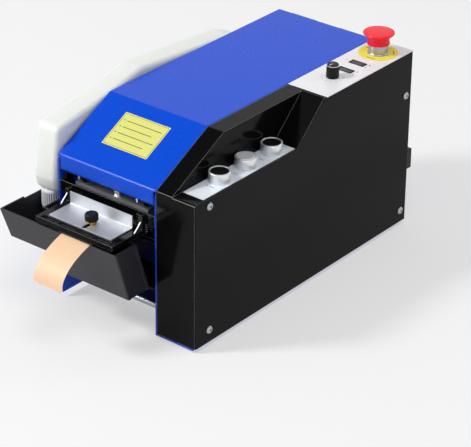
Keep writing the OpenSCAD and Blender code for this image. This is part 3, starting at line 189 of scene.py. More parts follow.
coats = {
    # powder-coated steel: thick, glossy, with a faint orange peel about 2 mm across
    "bluePowderCoat": dict(
        colours=("#004bd4", "#004cd6"), grain=2.2, patch=60, rough=(0.25, 0.28),
        bump=(0.015, 0.02), edge=4.0, IOR=1.27,
    ),
    # smooth powder coat on the housing: finer peel, sharper reflections, and a painted highlight
    # in a pale rim colour along the edges
    "blackPowderCoat": dict(
        colours=("#0b0b0c", "#0e0e0f"), grain=1.4, patch=50, rough=(0.1, 0.14),
        bump=(0.02, 0.01), edge=1.1, rim="#8e9096", IOR=1.17,
    ),
    # zinc-plated steel: pale, slightly clouded metal
    "zincSteel": dict(
        colours=("#b9bcc0", "#a9adb3"), grain=1.5, patch=12, rough=(0.28, 0.42),
        bump=(0.05, 0.02), Metallic=1.0,
    ),
    # bright stainless, brushed across the machine: lines about 0.3 mm apart, long soft streaks
    "polishedSteel": dict(
        colours=("#eeeff1", "#e6e8ea"), grain=0.3, patch=20, rough=(0.4, 0.5),
        bump=(0.03, 0.01), stretch=(0.02, 1, 1), Metallic=1.0,
    ),
    # turned aluminium: satin with fine rings
    "turnedAluminium": dict(
        colours=("#f4f4f6", "#eceef0"), grain=0.4, patch=9, rough=(0.46, 0.54),
        bump=(0.04, 0.01), stretch=(1, 1, 6), Metallic=1.0,
    ),
    # clear anodised aluminium: fine turned rings under a pale satin film
    "anodisedSilver": dict(
        colours=("#f3f4f6", "#ebedef"), grain=0.4, patch=9, rough=(0.34, 0.42),
        bump=(0.04, 0.01), stretch=(1, 1, 6), Metallic=0.8,
    ),
    # the same metal blasted before anodising: broad, milky shine
    "satinSilver": dict(
        colours=("#f4f5f7", "#eceef0"), grain=0.4, patch=9, rough=(0.4, 0.48),
        bump=(0.04, 0.01), stretch=(1, 1, 6), Metallic=0.45,
    ),
    # stainless blasted white: pale grey, streaked across, with hardly a reflection
    "satinStainless": dict(
        colours=("#c6c8cc", "#bcbfc4"), grain=0.3, patch=24, rough=(0.46, 0.56),
        bump=(0.03, 0.01), stretch=(0.02, 1, 1), Metallic=0.7,
    ),
    # laminated label plate: smooth white film with a soft shine
    "whiteLaminate": dict(
        colours=("#f8f7fa", "#f2f1f5"), grain=0.8, patch=30, rough=(0.3, 0.38),
        bump=(0.02, 0.01), IOR=1.49,
    ),
    # the same film over a cool tint
    "paleLaminate": dict(
        colours=("#eff6fe", "#e8eff8"), grain=0.8, patch=30, rough=(0.3, 0.38),
        bump=(0.02, 0.01), IOR=1.49,
    ),
    # screen-printed blue, thin and matt
    "blueInk": dict(
        colours=("#5c7ea6", "#6a8cb2"), grain=0.5, patch=6, rough=(0.45, 0.55),
        bump=(0.02, 0.01), IOR=1.45,
    ),
    # moulded ABS with a fine spark-eroded grain
    "blackAbs": dict(
        colours=("#0c0c0e", "#101012"), grain=0.7, patch=15, rough=(0.3, 0.4),
        bump=(0.12, 0.02), IOR=1.3,
    ),
    # eroded mould, almost no shine
    "matteBlack": dict(
        colours=("#060607", "#09090a"), grain=0.6, patch=8, rough=(0.5, 0.6), bump=(0.1, 0.02),
        IOR=1.2,
    ),
    # polished black plastic: small sharp highlights
    "blackGloss": dict(
        colours=("#0e0e10", "#121214"), grain=1.2, patch=10, rough=(0.12, 0.2),
        bump=(0.02, 0.01), IOR=1.52,
    ),
    # moulded rocker: dark grey, matt
    "greyRocker": dict(
        colours=("#3a3a42", "#404049"), grain=0.6, patch=8, rough=(0.42, 0.5), bump=(0.1, 0.02),
        IOR=1.52,
    ),
    # moulded red plastic: strong colour, broad soft highlight
    "redPlastic": dict(
        colours=("#fd102c", "#ff1531"), grain=1.0, patch=14, rough=(0.3, 0.38),
        bump=(0.03, 0.01), IOR=1.38,
    ),
    # injection moulded tray: charcoal, soft shine
    "charcoalTray": dict(
        colours=("#29282e", "#2f2e34"), grain=0.9, patch=25, rough=(0.26, 0.34),
        bump=(0.06, 0.02), edge=0.8, IOR=1.3,
    ),
    # blow moulded polyethylene: milky, waxy
    "milkyPolyethylene": dict(
        colours=("#f3f5f0", "#eceee9"), grain=3.0, patch=60, rough=(0.36, 0.46),
        bump=(0.08, 0.05), IOR=1.51, Subsurface_Weight=0.25,
        Subsurface_Radius=(0.01, 0.01, 0.011), Subsurface_Scale=1.0,
    ),
    # pale polypropylene cap: nearly white, satin
    "greyCap": dict(
        colours=("#f6f8fc", "#eceff4"), grain=0.8, patch=10, rough=(0.38, 0.46),
        bump=(0.06, 0.02), IOR=1.49,
    ),
    # the same plastic in the shade of the grooves
    "grooveShadeGrey": dict(
        colours=("#4d5a66", "#44505b"), grain=0.8, patch=10, rough=(0.45, 0.55),
        bump=(0.06, 0.02), IOR=1.45,
    ),
    # black rubber, dusty matt
    "blackRubber": dict(
        colours=("#161616", "#1e1e1d"), grain=0.5, patch=8, rough=(0.6, 0.75),
        bump=(0.25, 0.04), IOR=1.52,
    ),
    # gummed kraft paper: fibres about 1 mm long, warm
    "gummedKraft": dict(
        colours=("#fad6b2", "#f3c9a0"), grain=0.7, patch=6, rough=(0.5, 0.62), bump=(0.2, 0.03),
        stretch=(1, 0.35, 1), IOR=1.48,
    ),
    # wound cardboard: brown, fibrous, no shine
    "woundCard": dict(
        colours=("#a98a63", "#97784f"), grain=0.9, patch=5, rough=(0.75, 0.85),
        bump=(0.3, 0.05), IOR=1.45,
    ),
    # turned brass: warm, bright, finely ringed
    "turnedBrass": dict(
        colours=("#d3a450", "#c6953f"), grain=0.4, patch=6, rough=(0.2, 0.3), bump=(0.04, 0.01),
        stretch=(1, 1, 6), Metallic=1.0,
    ),
    # sintered bronze: dull, pitted
    "sinteredBronze": dict(
        colours=("#a67440", "#8e6236"), grain=0.35, patch=5, rough=(0.4, 0.55),
        bump=(0.2, 0.02), Metallic=1.0,
    ),
    # green solder mask: even, half glossy
    "solderMask": dict(
        colours=("#0f4a22", "#14562a"), grain=0.8, patch=9, rough=(0.25, 0.35),
        bump=(0.1, 0.02), IOR=1.5,
    ),
    # painted steel laminations: grey with fine layers
    "laminations": dict(
        colours=("#6d6f72", "#7b7e82"), grain=0.5, patch=10, rough=(0.4, 0.5), bump=(0.2, 0.05),
        stretch=(1, 1, 8), Metallic=0.8,
    ),
    # lacquered coil wound in tape: brown, faintly ringed
    "coilTape": dict(
        colours=("#8a4a22", "#9c5629"), grain=0.6, patch=8, rough=(0.3, 0.4), bump=(0.2, 0.04),
        stretch=(1, 1, 5), IOR=1.5,
    ),
    # nylon bristle: amber, waxy
    "bristle": dict(
        colours=("#7a5630", "#93693c"), grain=0.3, patch=3, rough=(0.4, 0.5), bump=(0.1, 0.01),
        IOR=1.53,
    ),
    # printed vinyl film: pale yellow, satin
    "yellowVinyl": dict(
        colours=("#e8e884", "#e2e27a"), grain=0.9, patch=18, rough=(0.32, 0.4),
        bump=(0.03, 0.01), IOR=1.5,
    ),
    # printed vinyl film in warning yellow: strong, nearly matt
    "signalYellow": dict(
        colours=("#fbee58", "#f6e84e"), grain=0.9, patch=14, rough=(0.4, 0.48),
        bump=(0.03, 0.01), IOR=1.28,
    ),
    # dark print on a label: flat grey lines
    "printInk": dict(
        colours=("#3a3a3e", "#44444a"), grain=0.5, patch=6, rough=(0.45, 0.55),
        bump=(0.02, 0.01), IOR=1.5,
    ),
}
finishes = {name: finish(name, **coat) for name, coat in coats.items()}
print("materials made:", len(finishes))

slotFinish = {
    "blue_paint": "bluePowderCoat",
    "black_paint": "blackPowderCoat",
    "zinc_steel": "zincSteel",
    "bright_steel": "polishedSteel",
    "aluminium": "turnedAluminium",
    "white_plate": "whiteLaminate",
    "black_plastic": "blackAbs",
    "black_gloss": "blackGloss",
    "grey_switch": "greyRocker",
    "red_plastic": "redPlastic",
    "tray_plastic": "charcoalTray",
    "bottle_plastic": "milkyPolyethylene",
    "cap_plastic": "greyCap",
    "rubber": "blackRubber",
    "gummed_paper": "gummedKraft",
    "cardboard": "woundCard",
    "brass": "turnedBrass",
    "bronze": "sinteredBronze",
    "circuit_board": "solderMask",
    "transformer": "laminations",
    "copper_coil": "coilTape",
    "bristles": "bristle",
}
slotOf = {part["node"]: part["material_slot"] for part in frame["record"]["subparts"]}
nodeFinish = {"feed_plate": "satinStainless", "button_label_plate": "paleLaminate"}
for nodeName, cadObject in nodes.items():
    chosen = nodeFinish.get(nodeName, slotFinish[slotOf[nodeName]])
    cadObject.data.materials.clear()
    cadObject.data.materials.append(finishes[chosen])

# folded and moulded edges catch the light: the larger CAD parts get a fine round on each corner
edgeRounds = {
    "lid": 0.7,
    "left_side_plate": 0.5,
    "housing_chassis": 0.5,
    "housing_cover": 0.7,
    "housing_side_panel": 0.8,
    "control_plate": 0.3,
    "water_tray": 0.5,
    "feed_frame": 0.5,
    "feed_plate": 0.4,
    "cutter_frame": 0.4,
    "base_plate": 0.3,
    "rocker_front": 0.5,
    "rocker_rear": 0.5,
    "rocker_housings": 0.3,
    "power_inlet": 0.6,
    "brackets": 0.3,
}
rounding = {"merge": 0.01, "flatAngle": 0.5, "segments": 3, "sharpAngle": 40}
for nodeName, width in edgeRounds.items():
    stack = nodes[nodeName].modifiers
    weld = stack.new("weld", "WELD")
    weld.merge_threshold = rounding["merge"] * mm
    plain = stack.new("plainFaces", "DECIMATE")
    plain.decimate_type = "DISSOLVE"
    plain.angle_limit = math.radians(rounding["flatAngle"])
    bevel = stack.new("edgeRound", "BEVEL")
    bevel.width = width * mm
    bevel.segments = rounding["segments"]
    bevel.limit_method = "ANGLE"
    bevel.angle_limit = math.radians(rounding["sharpAngle"])
    flat = stack.new("flatFaces", "WEIGHTED_NORMAL")
    flat.mode = "FACE_AREA_WITH_ANGLE"
print("CAD nodes finished")

# mesh tools


def meshPiece(bm, name, body, finishName, sharp=35):
    bmesh.ops.remove_doubles(bm, verts=bm.verts, dist=1e-7)
    bmesh.ops.recalc_face_normals(bm, faces=bm.faces)
    for face in bm.faces:
        face.smooth = True
    for edge in bm.edges:
        edge.smooth = not (edge.is_manifold and edge.calc_face_angle(0) > math.radians(sharp))
    data = bpy.data.meshes.new(name)
    bm.to_mesh(data)
    bm.free()
    piece = bpy.data.objects.new(name, data)
    bpy.context.scene.collection.objects.link(piece)
    data.materials.append(finishes[finishName])
    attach(piece, body)
    return piece


def skin(bm, rows):
    # four-sided faces from each loop of corners to the next
    for a, b in zip(rows, rows[1:]):
        for k in range(len(a)):
            m = (k + 1) % len(a)
            bm.faces.new([a[k], a[m], b[m], b[k]])


def closedSkin(bm, rows):
    skin(bm, rows)
    for row in (rows[0], rows[-1]):
        bm.faces.new(row)


def lathe(profile, centre, steps=96, ribs=0, depth=0.0):
    # a profile point is (radius, height) or (radius, height, whether grooves cut into it)
    bm = bmesh.new()
    steps = ribs * 6 if ribs else steps
    rings = []
    for radius, height, ribbed in [(p + (False,))[:3] for p in profile]:
        ring = []
        for k in range(steps if radius > 0 else 1):
            angle = 2 * math.pi * k / steps
            cut = depth * max(0, math.cos(ribs * angle)) ** 2 if ribbed else 0
            r = radius - cut
            spot = Vector((r * math.cos(angle), r * math.sin(angle), height))
            ring.append(bm.verts.new(centre + spot * mm))
        rings.append(ring)
    for a, b in zip(rings, rings[1:]):
        for k in range(max(len(a), len(b))):
            m = k + 1
            corners = [a[k % len(a)], a[m % len(a)], b[m % len(b)], b[k % len(b)]]
            unique = list(dict.fromkeys(corners))
            if len(unique) > 2:
                bm.faces.new(unique)
    return bm


def arcRound(start, corner, end, steps=6):
    a, b, c = (Vector(p) for p in (start, corner, end))
    shares = [k / steps for k in range(steps + 1)]
    return [tuple((1 - t) ** 2 * a + 2 * t * (1 - t) * b + t * t * c) for t in shares]


def film(loops, z, thick, name, body, finishName, slot):
    bm = bmesh.new()
    for loop in loops:
        heights = (z, z + thick)
        closedSkin(bm, [[bm.verts.new(at(x, y, height)) for x, y in loop] for height in heights])
    return meshPiece(bm, name, body, finishName)


def unit(v):
    return v / v.length


def roundedLoop(points, radius, steps):
    loop = []
    for i, point in enumerate(points):
        p = Vector(point)
        back, onward = Vector(points[i - 1]) - p, Vector(points[(i + 1) % len(points)]) - p
        toLast, toNext = unit(back), unit(onward)
        half = math.acos(max(-1, min(1, toLast.dot(toNext)))) / 2
        reach = min(radius / math.tan(half), 0.45 * back.length, 0.45 * onward.length)
        loop += [Vector(q) for q in arcRound(p + toLast * reach, p, p + toNext * reach, steps)]
    return loop


# push buttons: heights are from the seat

button = {
    "seat": 200.6,
    "ringRadius": 14.0,
    "ringHeight": 13.5,
    "ringWall": 2.3,
    "fillet": 1.2,
    "foot": 0.7,
    "shelf": 3.3,
    "bore": 6.3,
    "thread": (11.0, -22.4),
    "capRadius": 11.4,
    "capBottom": 6.8,
    "capRound": 0.9,
    "dish": (1.6, 0.4),
    "stem": (5.9, -19.4),
}
caps = {
    # node: place along the body, finish, slot, how far the cap stands over its ring
    "start_button": (70.5, "matteBlack", "black_gloss", -0.8),
    "repeat_button": (121.0, "satinSilver", "bright_steel", 0.5),
    "reverse_button": (171.5, "matteBlack", "black_gloss", -0.8),
}


def makeCap(node, centre, finishName, slot, proud):
    radius, face, bottom = button["capRadius"], button["ringHeight"] + proud, button["capBottom"]
    soft, (slope, dent), (stem, stemEnd) = button["capRound"], button["dish"], button["stem"]
    cap = [(0, face - dent), (radius - 2 * slope, face - 0.8 * dent), (radius - slope, face)]
    cap += arcRound((radius - soft, face), (radius, face), (radius, face - soft))
    cap += [(radius, bottom), (stem, bottom), (stem, stemEnd), (0, stemEnd)]
    piece = meshPiece(lathe(cap, centre), node + "Cap", node, finishName, 28)
    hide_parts(node)


def makeRing(node, centre):
    outer, top = button["ringRadius"], button["ringHeight"]
    foot, fillet, shelf, bore = (button[k] for k in ("foot", "fillet", "shelf", "bore"))
    inner = outer - button["ringWall"]
    lip = inner - 0.1
    thread, threadEnd = button["thread"]
    ring = [(outer - foot, 0), (outer - foot + 0.1, foot - 0.2), (outer, foot)]
    ring += arcRound((outer, top - fillet), (outer, top), (outer - fillet, top))
    ring += arcRound((inner + 0.5, top), (inner, top), (lip, top - 0.7))
    ring += [(lip, shelf), (bore, shelf), (bore, threadEnd), (thread, threadEnd), (thread, 0)]
    turned = lathe(ring + ring[:1], centre)
    return meshPiece(turned, node + "Ring", "chassis", "anodisedSilver", 28)


seats = {}
for nodeName, (y, *facts) in caps.items():
    seats[nodeName] = at(bench(middle(nodeName)).x, y, button["seat"])
    makeCap(nodeName, seats[nodeName], *facts)
ringPieces = [makeRing(nodeName, centre) for nodeName, centre in seats.items()]
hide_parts("button_rings")
print("push buttons made")

# stop button: mushroom head, label under it, flanged collar

stop = {
    "headRadius": 21.0,
    "neckRadius": 15.0,
    "top": 281.0,
    "bottom": 264.2,
    "hollow": (13.15, 272.3),
    "socket": (6.1, 277.6),
    "collarRadius": 12.75,
    "collarTop": 265.0,
    "flange": (1.6, 2.0),
    "labelBore": 13.2,
    "labelRadius": 26.5,
    "labelThick": 0.2,
    "steps": 128,
}


def makeStopButton():
    centre, steps = axisOf("stop_head"), stop["steps"]
    r, neck, top, low = (stop[k] for k in ("headRadius", "neckRadius", "top", "bottom"))
    (bore, roof), (socket, socketRoof) = stop["hollow"], stop["socket"]
    head = [(bore, low + 0.5), (bore + 0.45, low), (neck - 0.4, low), (neck, low + 0.4)]
    head += [(neck - 0.5, low + 3), (neck - 0.6, low + 5)]
    head += arcRound((neck - 0.4, low + 7.5), (neck + 0.4, top - 4.6), (r - 1.0, top - 3.0), 8)
    head += arcRound((r - 0.5, top - 2.6), (r, top - 1.9), (r - 0.6, top - 1.1), 5)
    head += [(r - 1.9, top - 1.3), (r - 2.5, top - 0.6), (r * 0.6, top - 0.15), (r * 0.3, top)]
    head += [(0, top), (0, socketRoof), (socket, socketRoof), (socket, roof), (bore, roof)]
    turned = lathe(head + head[:1], centre, steps)
    piece = meshPiece(turned, "stopHead", "stop_head", "redPlastic", 32)
    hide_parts("stop_head")
    inner, outer = stop["labelBore"], stop["labelRadius"]
    low, high = plateTop + hair, plateTop + stop["labelThick"]
    label = [(inner, low), (outer, low), (outer, high), (inner, high)]
    turned = lathe(label + label[:1], centre, steps)
    meshPiece(turned, "stopLabel", "chassis", "signalYellow")
    r, top, (width, height) = stop["collarRadius"], stop["collarTop"], stop["flange"]
    edge, low, high = r + width, high + hair, plateTop + height
    collar = [(r - 1, low), (edge, low), (edge, high - 0.4), (edge - 0.4, high)]
    collar += [(r + 0.05, high), (r + 0.05, top - 0.5), (r - 1, top - 0.4)]
    turned = lathe(collar + collar[:1], centre)
    meshPiece(turned, "stopFlange", "chassis", "zincSteel", 28)


makeStopButton()
print("stop button made")

# length knob: fluted skirt, silver line and pointer

knob = {
    "radius": 8.25,
    "low": 251.5,
    "height": 18.0,
    "hollow": 0.6,
    "step": 0.75,
    "shaft": (2.95, 242.2),
    "flutes": 24,
    "flute": 0.45,
    "band": (2.3, 1.5),
    "pointer": (0.8, 5.2, 0.3),
    "pointerReach": 4.4,
}


def makeKnob():
    centre = axisOf("length_knob")
    r, low = knob["radius"], knob["low"]
    top, roof, crown = low + knob["height"], low + knob["hollow"], r - knob["step"]
    shaft, shaftEnd = knob["shaft"]
    body = [(0, shaftEnd), (shaft, shaftEnd), (shaft, roof), (r - 1.2, roof)]
    body += [(r - 0.6, low), (r, low), (r, low + 1.2)]
    body += [(r, low + 2.0, True), (r - 0.1, top - 3.6, True), (r - 0.2, top - 3.0)]
    body += [(r - 0.2, top - 2.6), (crown, top - 2.4)]
    body += arcRound((crown, top - 1.0), (crown, top), (crown - 1.05, top))
    body += [(0, top - 0.15)]
    turned = lathe(body, centre, ribs=knob["flutes"], depth=knob["flute"])
    piece = meshPiece(turned, "lengthKnob", "length_knob", "blackAbs", 40)
    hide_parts("length_knob")
    inner, outer, (under, over) = crown + 0.01, r - 0.1, knob["band"]
    band = [(inner, top - under), (outer, top - under), (outer, top - over), (inner, top - over)]
    turned = lathe(band + band[:1], centre)
    meshPiece(turned, "knobBand", "length_knob", "polishedSteel")
    bm = bmesh.new()
    tip = Vector((0, -knob["pointerReach"], top + hair)) * mm
    shape = Matrix.Diagonal((*(Vector(knob["pointer"]) * mm), 1))
    bmesh.ops.create_cube(bm, size=1, matrix=Matrix.Translation(centre + tip) @ shape)
    meshPiece(bm, "knobPointer", "length_knob", "whiteLaminate")


makeKnob()
print("knob made")

# rocker bezels

rocker = {"length": 23.0, "width": 10.4, "inner": (20.6, 8.1), "rise": 0.9}


def makeBezels():
    hx, hy = rocker["length"] / 2, rocker["width"] / 2
    ix, iy = (v / 2 for v in rocker["inner"])
    low, high = plateTop + hair, plateTop + rocker["rise"]
    steps = [(hx, hy, low), (hx, hy, high - 0.3), (hx - 0.4, hy - 0.4, high)]
    steps += [(ix, iy, high), (ix, iy, low)]
    for node in ("rocker_front", "rocker_rear"):
        spot = bench(middle(node))
        bm = bmesh.new()
        loops = []
        for x, y, z in steps:
            corners = ((-x, -y), (x, -y), (x, y), (-x, y))
            loops.append([bm.verts.new(at(spot.x + dx, spot.y + dy, z)) for dx, dy in corners])
        skin(bm, loops + loops[:1])
        meshPiece(bm, node + "_bezel", "chassis", "blackAbs", 20)


makeBezels()
print("bezels made")

# thumb screw: knurled head, brass collar, shank

thumb = {
    "radius": 8.5,
    "height": 9.5,
    "foot": 5.2,
    "socket": 3.4,
    "ribs": 28,
    "rib": 0.5,
    "collarRadius": 6.0,
    "collarHeight": 4.0,
    "shank": 2.4,
}


def makeThumbScrew():
    low, high = benchBox("thumb_screw")
    centre = axisOf("thumb_screw")
    top, tip = high.z, low.z
    r, bottom, socket = thumb["radius"], top - thumb["height"], thumb["socket"]
    head = [(0, bottom), (thumb["foot"], bottom), (r - 0.9, bottom), (r - 0.1, bottom + 0.8)]
    head += [(r, bottom + 1.0, True), (r, top - 1.6, True), (r - 0.3, top - 1.2)]
    head += arcRound((r - 0.6, top - 0.6), (r - 0.9, top), (r - 2.2, top))
    head += [(socket, top), (socket - 0.4, top - 0.5), (0, top - 0.5)]
    turned = lathe(head, centre, ribs=thumb["ribs"], depth=thumb["rib"])
    piece = meshPiece(turned, "thumbHead", "thumb_screw", "blackAbs", 40)
    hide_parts("thumb_screw")
    c, shank, base = thumb["collarRadius"], thumb["shank"], bottom - thumb["collarHeight"]
    shape = [(0, tip), (shank, tip), (shank, base), (c - 0.4, base), (c, base + 0.4)]
    shape += [(c, bottom - 0.5), (c - 0.5, bottom - hair), (0, bottom - hair)]
    meshPiece(lathe(shape, centre), "thumbCollar", "thumb_screw", "turnedBrass", 28)


makeThumbScrew()
print("thumb screw made")

# bottle and cap: the outline is (distance from the front, height) around the side

bottle = {
    "outline": [
        (23, 143),
        (44, 148),
        (371, 148),
        (371, 233),
        (343, 244),
        (162, 259),
        (97, 245),
        (4, 231),
        (-5, 161),
        (-2, 143),
    ],
    "corner": 11.0,
    "cornerSteps": 7,
    "side": 6.0,
    "sideSteps": 7,
    "capRadius": 14.0,
    "valve": (4.0, 6.0),
    "grooves": 28,
    "groove": 1.8,
    "core": (12.0, 13.1),
}


def insetLoop(loop, amount):
    moved = []
    for i, p in enumerate(loop):
        a, b = unit(p - loop[i - 1]), unit(loop[(i + 1) % len(loop)] - p)
        n, m = Vector((-a.y, a.x)), Vector((-b.y, b.x))
        moved.append(p + amount * (n + m) / max(0.3, 1 + n.dot(m)))
    return moved


def makeBottle():
    low, high = benchBox("water_bottle")
    loop = roundedLoop(bottle["outline"], bottle["corner"], bottle["cornerSteps"])
    bm = bmesh.new()
    side, steps = bottle["side"], bottle["sideSteps"]
    turns = [math.pi / 2 * k / steps for k in range(steps + 1)]
    layers = [(low.x + side * (1 - math.cos(t)), side * (1 - math.sin(t))) for t in turns]
    layers += [(low.x + high.x - x, inset) for x, inset in reversed(layers)]
    closedSkin(
        bm,
        [[bm.verts.new(at(x, p.x, p.y)) for p in insetLoop(loop, inset)] for x, inset in layers],
    )
    piece = meshPiece(bm, "bottleShell", "bottle", "milkyPolyethylene", 50)
    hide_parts("water_bottle")


def makeBottleCap():
    low, high = benchBox("bottle_cap")
    centre = axisOf("bottle_cap")
    top, bottom = high.z - 0.2, low.z
    r, (valve, valveTop) = bottle["capRadius"], bottle["valve"]
    rim = bottom + valveTop
    cap = [(0, bottom), (valve, bottom), (valve, rim), (r - 1.4, rim), (r - 0.4, rim + 1)]
    cap += [(r, rim + 2, True), (r, top - 3.4, True)]
    cap += [(r - 0.1, top - 3.0), (r - 0.1, top - 0.6), (r - 0.6, top), (0, top)]
    turned = lathe(cap, centre, ribs=bottle["grooves"], depth=bottle["groove"])
    piece = meshPiece(turned, "capShell", "bottle", "greyCap", 40)
    # painted shade: a darker sleeve that shows at the bottom of the grooves, standing in for the
    # shade there
    inner, outer = bottle["core"]
    low, high = rim + 2.3, top - 3.7
    core = [(inner, low), (outer, low), (outer, high), (inner, high)]
    turned = lathe(core + core[:1], centre)
    meshPiece(turned, "capGrooveShade", "bottle", "grooveShadeGrey")
    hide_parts("bottle_cap")


makeBottle()
makeBottleCap()
print("bottle made")

# tape strip: over the brushes and the rim, then curling down

strip = {
    "thick": 0.4,
    "across": 8,
    "cup": 0.25,
    # (distance from the front, drop below the strip's top)
    "level": [(21.5, 0), (0, 0), (-25, 0), (-45, 0), (-56, 0.1)],
    "bend": [(-58, 0.2), (-63, 0.6), (-72, 4.2)],
    "bendSteps": 6,
    "curlStart": (-76, 5.6),
    "curlCorner": (0.5, 20),
    "curlEnd": 0.4,
    "curlSteps": 26,
}


def stripLine(low, high):
    top = high.z
    level, bend, start = (
        [(y, top - drop) for y, drop in points]
        for points in (strip["level"], strip["bend"], [strip["curlStart"]])
    )
    out, drop = strip["curlCorner"]
    corner, end = (low.y + out, top - drop), (low.y + strip["curlEnd"], low.z)
    line = level + arcRound(*bend, strip["bendSteps"])
    line += arcRound(start[0], corner, end, strip["curlSteps"])
    return [Vector(p) for p in line]


def makeStrip():
    low, high = benchBox("tape_strip")
    line = stripLine(low, high)
    bm = bmesh.new()
    rows = []
    across = [k / strip["across"] for k in range(strip["across"] + 1)]
    around = [(0, t) for t in across] + [(1, t) for t in reversed(across)]
    for i, p in enumerate(line):
        along = unit(line[min(i + 1, len(line) - 1)] - line[max(i - 1, 0)])
        inward = Vector((-along.y, along.x))
        if inward.y > 0:
            inward = -inward
        share = i / (len(line) - 1)
        row = []
        for side, t in around:
            cup = strip["cup"] * (2 * t - 1) ** 2 * share
            q = p + inward * (strip["thick"] * side + cup)
            row.append(bm.verts.new(at(low.x + (high.x - low.x) * t, q.x, q.y)))
        rows.append(row)
    closedSkin(bm, rows)
    piece = meshPiece(bm, "tapeStrip", "water_tray", "gummedKraft", 50)
    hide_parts("tape_strip")


makeStrip()

# brushes: a holder and rows of bristle tufts, leaning with the tray's front

brush = {
    "rows": (10.0, 13.0, 22.0, 25.0),
    "tufts": 24,
    "margin": 3.4,
    "radius": 0.85,
    "sides": 6,
    # (height, spread) of a tuft's foot and tip
    "foot": (81.6, 0.8),
    "tip": (135.3, 1.2),
    # (place, height) of the tray's front face at its rim, and how it leans outward
    "rim": (-62.5, 135),
    "lean": 22.5 / 71.0,
    "holder": (5, 30),
    "holderTop": 82.0,
}


def trayFace(z):
    y, rim = brush["rim"]
    return y + brush["lean"] * (rim - z)


def makeTufts(low, high):
    bm = bmesh.new()
    sides, margin = brush["sides"], brush["margin"]
    angles = [2 * math.pi * j / sides for j in range(sides)]
    rays = [Vector((math.cos(t), math.sin(t), 0)) for t in angles]
    for row in brush["rows"]:
        for k in range(brush["tufts"]):
            share = k / (brush["tufts"] - 1)
            x = low.x + margin + (high.x - low.x - 2 * margin) * share
            ends = []
            for z, spread in (brush["foot"], brush["tip"]):
                centre, r = at(x, trayFace(z) + row, z), brush["radius"] * spread * mm
                ends.append([bm.verts.new(centre + r * ray) for ray in rays])
            closedSkin(bm, ends)
    return meshPiece(bm, "bristleTufts", "water_tray", "bristle")


def makeBrushes():
    low, high = benchBox("brushes")
    tufts = makeTufts(low, high)
    bm = bmesh.new()
    bottom, top = low.z, brush["holderTop"]
    near, far = brush["holder"]
    corners = [(near, bottom), (far, bottom), (far, top), (near, top)]
    ends = [
        [bm.verts.new(at(x, trayFace(z) + reach, z)) for reach, z in corners]
        for x in (low.x, high.x)
    ]
    closedSkin(bm, ends)
    edges = bm.edges[:]
    bmesh.ops.bevel(bm, geom=edges, offset=1.0 * mm, segments=3, affect="EDGES", profile=0.5)
    meshPiece(bm, "brushHolder", "water_tray", "blackAbs")
    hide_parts("brushes")


makeBrushes()
print("strip and brushes made")

# sticker on the slope: film, border and ruled lines

sticker = {
    "foot": (0.0, 200.0),
    "head": (97.0, 250.0),
    "across": (43.0, 115.5),
    "along": (36.0, 89.0),
    "thick": 0.15,
    "corner": 1.5,
    "cornerSteps": 4,
    "margin": 1.6,
    "line": 0.45,
    "rules": 4,
    "bullet": (4.0, 5.6),
    "ruleStart": 9,
    "ruleEnd": 5,
    "ink": (0.01, 0.05),
}


def makeSticker():
    foot, head = Vector(sticker["foot"]), Vector(sticker["head"])
    along = unit(head - foot)
    normal = Vector((-along.y, along.x))

    def layer(bm, points, height):
        spots = [(x, foot + along * a + normal * height) for x, a in points]
        return [bm.verts.new(at(x, q.x, q.y)) for x, q in spots]

    (x0, x1), (a0, a1), thick = sticker["across"], sticker["along"], sticker["thick"]
    corners = [(x0, a0), (x1, a0), (x1, a1), (x0, a1)]
    loop = roundedLoop(corners, sticker["corner"], sticker["cornerSteps"])
    bm = bmesh.new()
    closedSkin(bm, [layer(bm, loop, height) for height in (hair, thick)])
    meshPiece(bm, "lidSticker", "lid", "yellowVinyl")
    bm = bmesh.new()
    margin, w = sticker["margin"], sticker["line"]
    x0, x1, a0, a1 = x0 + margin, x1 - margin, a0 + margin, a1 - margin
    bars = [(x0, x1, a0, a0 + w), (x0, x1, a1 - w, a1)]
    bars += [(x0, x0 + w, a0 + w, a1 - w), (x1 - w, x1, a0 + w, a1 - w)]
    left, right = sticker["bullet"]
    half = (right - left) / 2
    start, short = sticker["ruleStart"], sticker["ruleEnd"]
    for k in range(sticker["rules"]):
        a = a1 - (k + 1) * (a1 - a0) / (sticker["rules"] + 1)
        bars.append((x0 + left, x0 + right, a - half, a + half))
        bars.append((x0 + start, x1 - short - start * (k % 2), a - w, a + w))
    for left, right, low, high in bars:
        corners = [(left, low), (right, low), (right, high), (left, high)]
        closedSkin(bm, [layer(bm, corners, thick + height) for height in sticker["ink"]])
    meshPiece(bm, "stickerBorder", "lid", "printInk")


makeSticker()

# printed marks on the control plate, the stop label and the button plate

marks = {
    # (across, along, width, height) from each rocker's middle
    "rockerMarks": [(-17.5, 0, 1.2, 1.2), (15.5, -4.6, 0.8, 2.6), (15.5, 4.6, 2.0, 2.0)],
    # (across, width, height) from the line of push buttons, at each of the rows
    "rowMarks": [(4.0, 7.0, 1.0), (-3.0, 2.0, 2.0)],
    "rows": (50.5, 96.0, 146.5, 193.0),
    "clear": 0.01,
    "thick": 0.08,
    "thinInk": 0.05,
    "ticks": 11,
    "tickRadius": (13.0, 15.4),
    "tickWidth": 0.5,
    "tickStart": -225,
    "tickTurn": 270,
    "arcs": 3,
    "arcRadius": (20.0, 21.2),
    "arcStart": 20,
    "arcTurn": 34,
}


def patch(x, y, width, height):
    signs = ((-1, -1), (1, -1), (1, 1), (-1, 1))
    return [Vector((x + sx * width / 2, y + sy * height / 2)) for sx, sy in signs]


def arcBand(spot, radii, start, end, steps=8):
    turns = [start + (end - start) * k / steps for k in range(steps + 1)]
    inner, outer = (
        [Vector((spot.x + r * math.cos(t), spot.y + r * math.sin(t))) for t in turns]
        for r in radii
    )
    return outer + inner[::-1]


